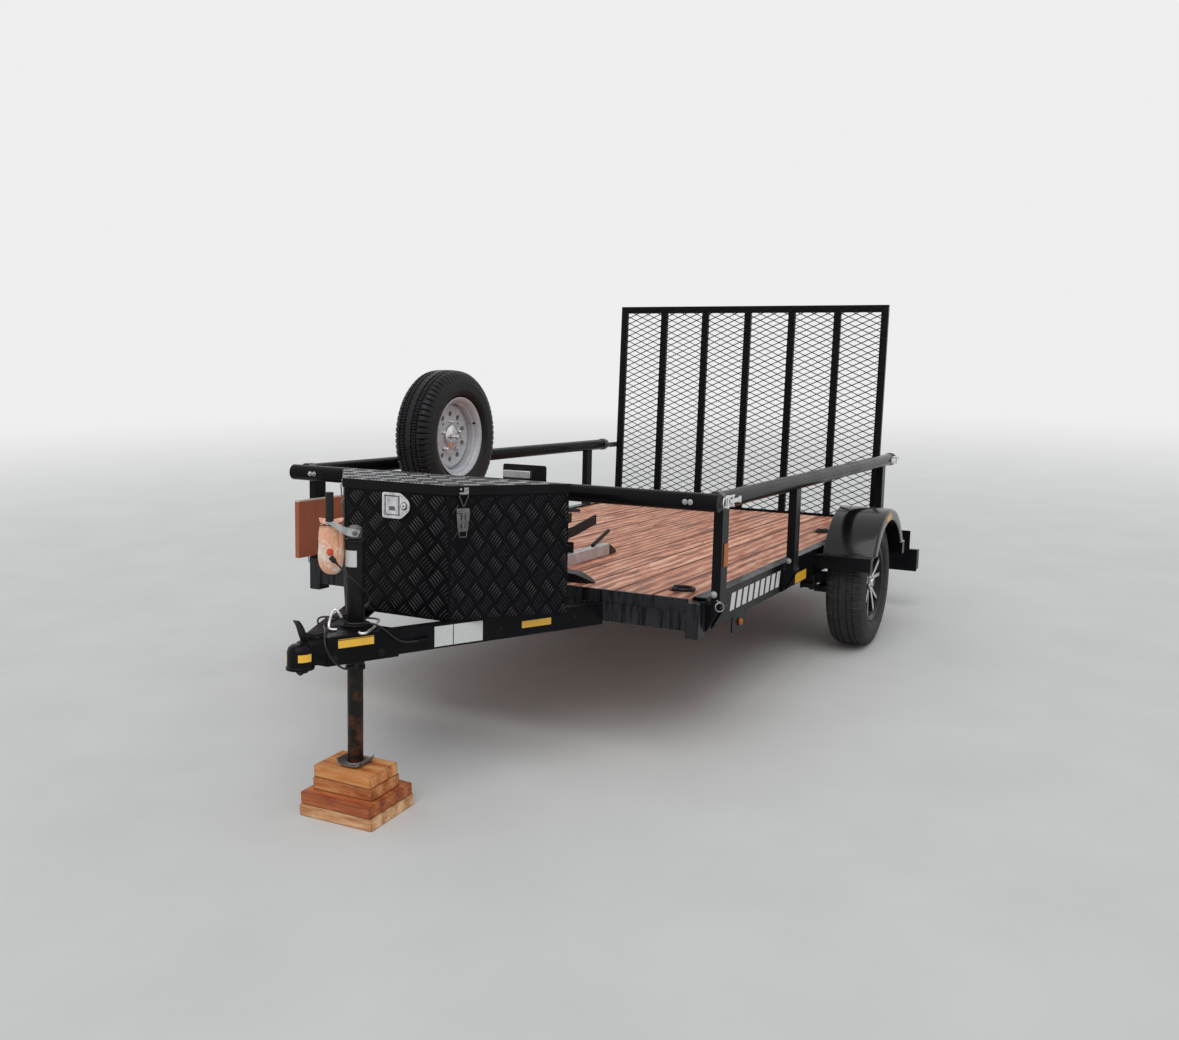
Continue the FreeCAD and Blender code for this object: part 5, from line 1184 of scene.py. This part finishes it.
# Brown board inside the far posts, its top edge pale
board = Form()
PANEL_X, PANEL_Y, PANEL_LOW, PALE_FROM, PANEL_TOP = (-832, -812), (-91, 437), 471.6, 691, 696.6
for slot, heights in enumerate(((PANEL_LOW, PALE_FROM), (PALE_FROM, PANEL_TOP))):
    board.slot = slot
    board.box(PANEL_X, PANEL_Y, heights)
board.done("brown_board", "board_wood", [BOARD_WOOD, BOARD_EDGE], ["side_panel"], bevel=1.0)


# Wheel stand, on the deck behind the tool box
def wheel_stand():
    """Two bright bars with dark ends and side plates, a raised cradle and a stop plate before the box."""
    bars, dark, cradle = Form(), Form(), Form()
    low, bar, high, middle, foot = DECK + 0.3, (98, 130), 47, 114, 110

    def corners(top):
        return ((-1, 0), (1, 0), (1, top), (-1, top))

    for side in (-1, 1):
        x = both(side, *bar)
        bars.box(x, (150, 732), (low, low + high))
        dark.loft([[(side * middle + way * half * 0.94, y, low + up) for way, up in corners(top)]
                   for y, half, top in ((728, 17, high), (760, 15.5, 34), (800, 10, 16), (819, 5.5, 8))])
        dark.box(x, (108, 152), (low, low + high + 0.6))
        dark.prism([(side * 131, 146), (side * 338, 80), (side * 338, 112), (side * 136, 330)], low, low + 6)
        dark.loft([[(side * x, foot + way * half, low + up) for way, up in corners(top)]
                   for x, half, top in ((270, 34, 33.6), (310, 30, 31), (345, 22, 18), (366, 13, 8),
                                        (374, 6, 4))])
        dark.rod((side * middle, 604, low + 52), (side * middle, 752, low + 98), 8, 14, 1)
    dark.box((-270, 270), (foot - 34, foot + 34), (low, low + 33.6))
    dark.loft([[(-26, y, low + up), (26, y, low + up), (26, y + 8, low + up), (-26, y + 8, low + up)]
               for y, up in ((132, 33), (190, 190), (240, 318), (241, 390))])
    stop_y, stop_half, stop_low, stop_high = 246, 94, 795, 862
    stop = [(-stop_half, stop_low), (stop_half, stop_low), (stop_half, stop_high), (-stop_half, stop_high)]
    dark.prism(rounded(stop, 10), 0, 5, wall((0, stop_y, 0), (1, 0, 0)))
    bars.box((-85, 32), (stop_y - 20, stop_y - 5), (811, 839))
    bars.done("stand_bars", "silver_steel", SILVER, ["chock_base"], bevel=2.5)
    dark.done("stand_foot", "leg_paint", LEG_BLACK, ["chock_base"], bevel=2)
    z, y = DECK + 86, 406
    for side in (-1, 1):
        cradle.prism([(400, z), (536, z + 6), (738, z + 36), (742, z + 40), (742, z + 74), (736, z + 77),
                      (536, z + 47), (404, z + 40)], *both(side, 55, 61), UPRIGHT)
        cradle.box(both(side, 96, 128), (y, y + 8), (DECK + 49, z + 5))
        cradle.bolt((side * middle, y, z - 14), (0, -1, 0), 7, 5)
    cradle.box((-55, 55), (401, 520), (z, z + 6))
    cradle.box((-128, 128), (y, y + 8), (z - 8, z + 4))
    cradle.done("stand_cradle", "leg_paint", LEG_BLACK, ["chock_cradle"], bevel=1)


wheel_stand()


# Tongue: reflectors, blank labels and bolts on the channels' outer faces
def channel_frame(side):
    """X runs forward along a channel, Y out of its face, Z up."""
    ahead = Vector((-math.sin(TONGUE) * side, -math.cos(TONGUE), 0))
    out = Vector((math.cos(TONGUE) * side, -math.sin(TONGUE), 0))
    return shifted(470 * side, -16, 0) @ Matrix((ahead, out, Vector((0, 0, 1)))).transposed().to_4x4()


NOSE_Y = -1012
yellow, plates, fixings, dark_marks = Form(), Form(), Form(), Form()
for side in (1, -1):
    face = channel_frame(side)
    yellow.box((220, 338), (0, 0.9), (377, 400), face)
    yellow.box((874, 989), (5.3, 5.9), (396, 422), face)
    outward = face.to_3x3() @ Vector((0, 1, 0))
    for plate in ((489, 596), (599, 665)):
        plates.box(plate, (0, 0.6), (357, 421), face)
    for along in (120, 420):
        dark_marks.dome(face @ Vector((along, 0, 389)), outward, 7, 4)
    for along in (850, 1000):
        dark_marks.bolt(face @ Vector((along, 5.3, 366)), outward, 8, 6)
    strip = [[polar(r, step * 8 - 58, z) for r, z in ((37.6, 376), (38.1, 376), (38.1, 398), (37.6, 398))]
             for step in range(9)]
    yellow.loft([[(x * side, y + NOSE_Y, z) for x, y, z in ring] for ring in strip])
    yellow.box(both(side, BEAM_OUTER, BEAM_OUTER + 0.8), (1085, 1245), (360, 402))
yellow.done("yellow_reflectors", "lamp_plastic", YELLOW, bevel=0.3)
plates.done("blank_plates", "silver_steel", LABEL, bevel=0.2)
dark_marks.bolt((20, -1034, 350), (0.35, -0.5, -0.5), 9, 8)
dark_marks.done("tongue_bolts", "black_steel", LEG_BLACK)

# Rails, posts and beams: bolts, pins with rings, blank stripes and reflectors
RAIL_BOLTS, RAIL_FRONT = (777, 796, -764, -784), -57
POST_BOLTS, POST_BOLT_X, POST_BOLT_Z = (43, 885, 2417), BEAM_OUTER + 28, 486
for x in RAIL_BOLTS:
    fixings.bolt((x, RAIL_FRONT, RAIL_Z), (0, -1, 0), 6.5, 6)
for x in (POST_BOLT_X, -POST_BOLT_X):
    for y in POST_BOLTS:
        fixings.bolt((x, y, POST_BOLT_Z), (0, -1, 0), 8, 6)
PIN, PIN_RING = (876, 38, 447), 15
for side in (-1, 1):
    pin = Vector((side * PIN[0], *PIN[1:]))
    across, up = Vector((0.78 * side, 0.62, 0)) * PIN_RING, Vector((0, 0, PIN_RING))
    fixings.sweep([pin + across * math.cos(a) + up * math.sin(a) for a in turns(28, 1)], 1.9, 8)
    fixings.rod(pin + Vector((0, 2, PIN_RING)), pin + Vector((-side * 14, 8, 19)), 4, 14, 0.6)
fixings.done("bright_bolts", "zinc", ZINC)

stripes = Form()
STRIPE, STRIPE_PITCH, STRIPE_LEAN, STRIPE_Z = 44, 66, 18, (384, 446)
for y in range(285, 845, STRIPE_PITCH):
    low, high = ([(start, z), (start + STRIPE, z)] for start, z in zip((y, y + STRIPE_LEAN), STRIPE_Z))
    stripes.prism(low + high[::-1], BEAM_OUTER, BEAM_OUTER + 0.6, UPRIGHT)
stripes.mirror()
stripes.done("beam_stripes", "silver_steel", WHITE)

amber = Form()
for side in (-1, 1):
    amber.box(both(side, RAIL_X + 16, RAIL_X + 19), (62, 100), (578, 656))
amber.done("post_reflectors", "lamp_plastic", AMBER, bevel=0.8)


# Coupler: folded plates over the channels, a necked-down nose with a lip, and its lever
def coupler_parts():
    """The coupler's body, with a hole for the jack's tube, its lever and what that turns on."""
    form = Form()
    wide_front, wide_back, y_front, y_back = 42.6, 140.4, -945, -735
    corners = [(-wide_front, y_front), (wide_front, y_front), (wide_back, y_back), (-wide_back, y_back)]
    edge, hole, hole_radius = [], [], 28.5
    for number, start in enumerate(corners):
        end = corners[(number + 1) % 4]
        for step in range(12):
            x, y = (a + (b - a) * step / 12 for a, b in zip(start, end))
            reach = math.hypot(x, y - JACK_Y) / hole_radius
            edge.append((x, y))
            hole.append((x / reach, JACK_Y + (y - JACK_Y) / reach))
    form.rim(edge, hole, CHANNEL_TOP + 0.4, COUPLER_TOP)
    for side in (-1, 1):
        skirt = [(side * wide_front, y_front), (side * wide_back, y_back), (side * (wide_back - 5.8), y_back),
                 (side * (wide_front - 5.8), y_front)]
        form.prism(skirt, 346, 430)
    form.box((-wide_front, wide_front), (y_front, y_front + 5), (346, 430))
    form.loft([[(-half, y, low), (half, y, low), (half, y, high - 8), (half - 8, y, high),
                (-half + 8, y, high), (-half, y, high - 8)]
               for y, half, low, high in ((-940, 40, 350, 429), (-956, 36, 352, 430), (-974, 31, 356, 428),
                                          (-1000, 29, 358, 424))])
    form.ring([(350, 27), (350, 40.4), (357, 40.8), (359.5, 37.6), (402, 37.2), (414, 33), (421, 24),
               (424, 8), (424, 0.5), (400, 0.5), (396, 14), (386, 24), (380, 27)], 48, shifted(0, NOSE_Y, 0))
    flat = Matrix(((1, 0, 0, 0), (0, 0, 1, 0), (0, 1, 0, 0), (0, 0, 0, 1)))
    slot = [[(932 + math.copysign(62, math.cos(a)) + reach * math.cos(a), 402 + reach * math.sin(a))
             for a in [math.pi * (k + 0.5) / 8 for k in range(16)]] for reach in (19, 17)]
    for side in (-1, 1):
        form.rim(*slot, 5.2, 6.8, channel_frame(side) @ flat)
    form.done("coupler_body", "black_steel", BLACK, ["coupler"], bevel=2.2, steps=3, sharp=40)
    lever = Form()
    lever.loft([[(-half, back - 3.6, z), (half, back - 3.6, z), (half, back + 3.6, z), (-half, back + 3.6, z)]
                for z, half, back in ((0.5, 13, 0), (20, 13.6, 0), (44, 12, -1), (60, 10.5, -3),
                                      (72, 9.5, -7), (77, 8, -11))],
               shifted(0, -992, 425.9) @ rotated(22, "X"))
    lever.done("coupler_lever", "leg_paint", LEG_BLACK, ["coupler_latch"], bevel=1.6)
    boss = Form()
    for number in range(4):
        boss.box((-20 + number * 11.5, -14 + number * 11.5), (-972, -936), (427, 444))
    boss.box((-24, 24), (-962, -940), (427, 438))
    boss.rod((-28, -966, 434), (28, -966, 434), 5.5, 18, 1)
    boss.rod((0, -1000, 352), (0, -1000, 336), 15, 24, 3)
    boss.done("coupler_boss", "leg_paint", LEG_BLACK, bevel=1.2)


coupler_parts()


# Deck rings under their straps
def deck_rings():
    """Four tie rings, each under a bent strap on its plate."""
    form = Form()
    ring_x, ring_rows, wide, long, bar = 700, (150, 1980), 37, 35, 6.2
    for x in (ring_x, -ring_x):
        for y in ring_rows:
            form.sweep([(x + wide * math.cos(a), y + long * math.sin(a), DECK + 9) for a in turns(36, 1)],
                       bar, 12, caps=False)
            form.box((x - 50, x - 22), (y - 14, y + 14), (DECK + 0.4, DECK + 3))
            strap = ((-13, 3), (-10, 10), (0, 14.5), (10, 10), (13, 3))
            form.sweep([(x - 36, y + aside, DECK + up) for aside, up in strap], 2.2, 10, flat=3.4)
    form.done("deck_rings", "black_steel", LEG_BLACK, ["tie_rings"], sharp=40)


deck_rings()


# Toggle latches that hold the side rails at both ends
def rail_latches():
    """Four latches: a slotted plate, an arm and a wire loop."""
    form = Form()
    for side in (-1, 1):
        for start, way in ((18, 1), (2650, -1)):
            x = RAIL_X + 31

            def box(a, b, c, d, e, f):
                form.box(both(side, x + a, x + b), sorted((start + way * c, start + way * d)),
                         (RAIL_Z + e, RAIL_Z + f))

            box(0, 3, 0, 84, -19, -13)
            box(0, 3, 0, 84, 13, 19)
            for c in (0, 30, 62):
                box(0, 3, c, c + 16, -13, 13)
            box(3, 9, 4, 14, -22, 22)
            box(4, 8, 30, 128, -7, 7)
            box(3, 10, 118, 130, -11, 11)
            wire = ((70, -15), (0, -16), (-30, -14), (-38, 0), (-30, 14), (0, 16), (70, 15))
            form.sweep([(side * (x + 6), start + way * along, RAIL_Z + up) for along, up in wire], 2.4, 8)
    form.done("rail_latches", "zinc", HOOK, bevel=0.7)


rail_latches()


# Lamps: red lenses to the back, round amber markers on the beams
lenses = Form()
LENS_X, LENS_Y, LENS_Z = (964, 1067), (2474.5, 2475), (258, 350)
for side in (-1, 1):
    lenses.box(both(side, *LENS_X), LENS_Y, LENS_Z)
lenses.done("tail_lenses", "lamp_plastic", RED, bevel=0.2)

markers = Form()
MARKER_Y, MARKER_Z = 395, 327
for side in (1, -1):
    markers.slot = 0
    markers.box(both(side, BEAM_OUTER - 5, BEAM_OUTER), (MARKER_Y - 75, MARKER_Y + 75),
                (MARKER_Z - 30, MARKER_Z + 30))
    markers.lathe([(0, 17), (2, 17), (2.4, 15)],
                  around((BEAM_OUTER * side, MARKER_Y, MARKER_Z), (side, 0, 0)), 30)
    markers.slot = 1
    markers.lathe([(0, 14), (5, 14), (8.5, 12), (11, 8), (12.4, 3)],
                  around(((BEAM_OUTER + 0.4) * side, MARKER_Y, MARKER_Z), (side, 0, 0)), 30)
markers.done("marker_lamps", "lamp_plastic", [BLACK, AMBER], ["side_markers"], bevel=0.6)


# Floor, world and light
def studio():
    """A pale floor that fades into an even backdrop, soft light from above and one broad sun."""
    scene = bpy.context.scene
    scene.view_settings.view_transform = "Standard"
    tone = 0.86
    floor = Shader("floor", Roughness=0.9, Specular_IOR_Level=0.1)
    floor.set(Base_Color=floor.ramp(floor.noise(2.0, 4), (0.3, (0.6, 0.6, 0.59)), (0.7, (0.64, 0.64, 0.63))))
    reach = floor.node("VectorMath", {0: floor.place}, operation="LENGTH").outputs["Value"]
    fade = floor.node("MapRange", {"Value": reach, "From Min": 3.0, "From Max": 14.0},
                      interpolation_type="SMOOTHSTEP").outputs[0]
    glow = floor.node("Emission", {"Color": (tone, tone, tone, 1), "Strength": 1.0}).outputs[0]
    blend = floor.node("MixShader", {0: fade, 1: floor.bsdf.outputs[0], 2: glow}).outputs[0]
    floor.tree.links.new(blend, floor.tree.nodes["Material Output"].inputs[0])
    disc = bmesh.new()
    bmesh.ops.create_circle(disc, cap_ends=True, segments=128, radius=60)
    mesh = bpy.data.meshes.new("floor")
    disc.to_mesh(mesh)
    mesh.materials.append(floor.mat)
    item = add_object("floor", mesh)
    world = bpy.data.worlds.new("studio")
    scene.world = world
    world.use_nodes = True
    tree = world.node_tree
    rays = add_node(tree, "LightPath").outputs
    seen = rays["Is Camera Ray"]
    for kind in ("Is Glossy Ray", "Is Transmission Ray"):
        seen = add_node(tree, "Math", {0: seen, 1: rays[kind]}, operation="MAXIMUM").outputs[0]
    pale = add_node(tree, "Background", {"Color": (tone, tone, tone, 1)}).outputs[0]
    soft = add_node(tree, "Background", {"Color": (0.95, 0.975, 1, 1), "Strength": 0.62}).outputs[0]
    mix = add_node(tree, "MixShader", {0: seen, 1: soft, 2: pale}).outputs[0]
    tree.links.new(mix, tree.nodes["World Output"].inputs[0])
    sun = bpy.data.lights.new("sky_glow", "SUN")
    sun.energy = 1.15
    sun.angle = math.radians(50)
    add_object("sky_glow", sun).rotation_euler = (math.radians(28), math.radians(14), 0)


studio()
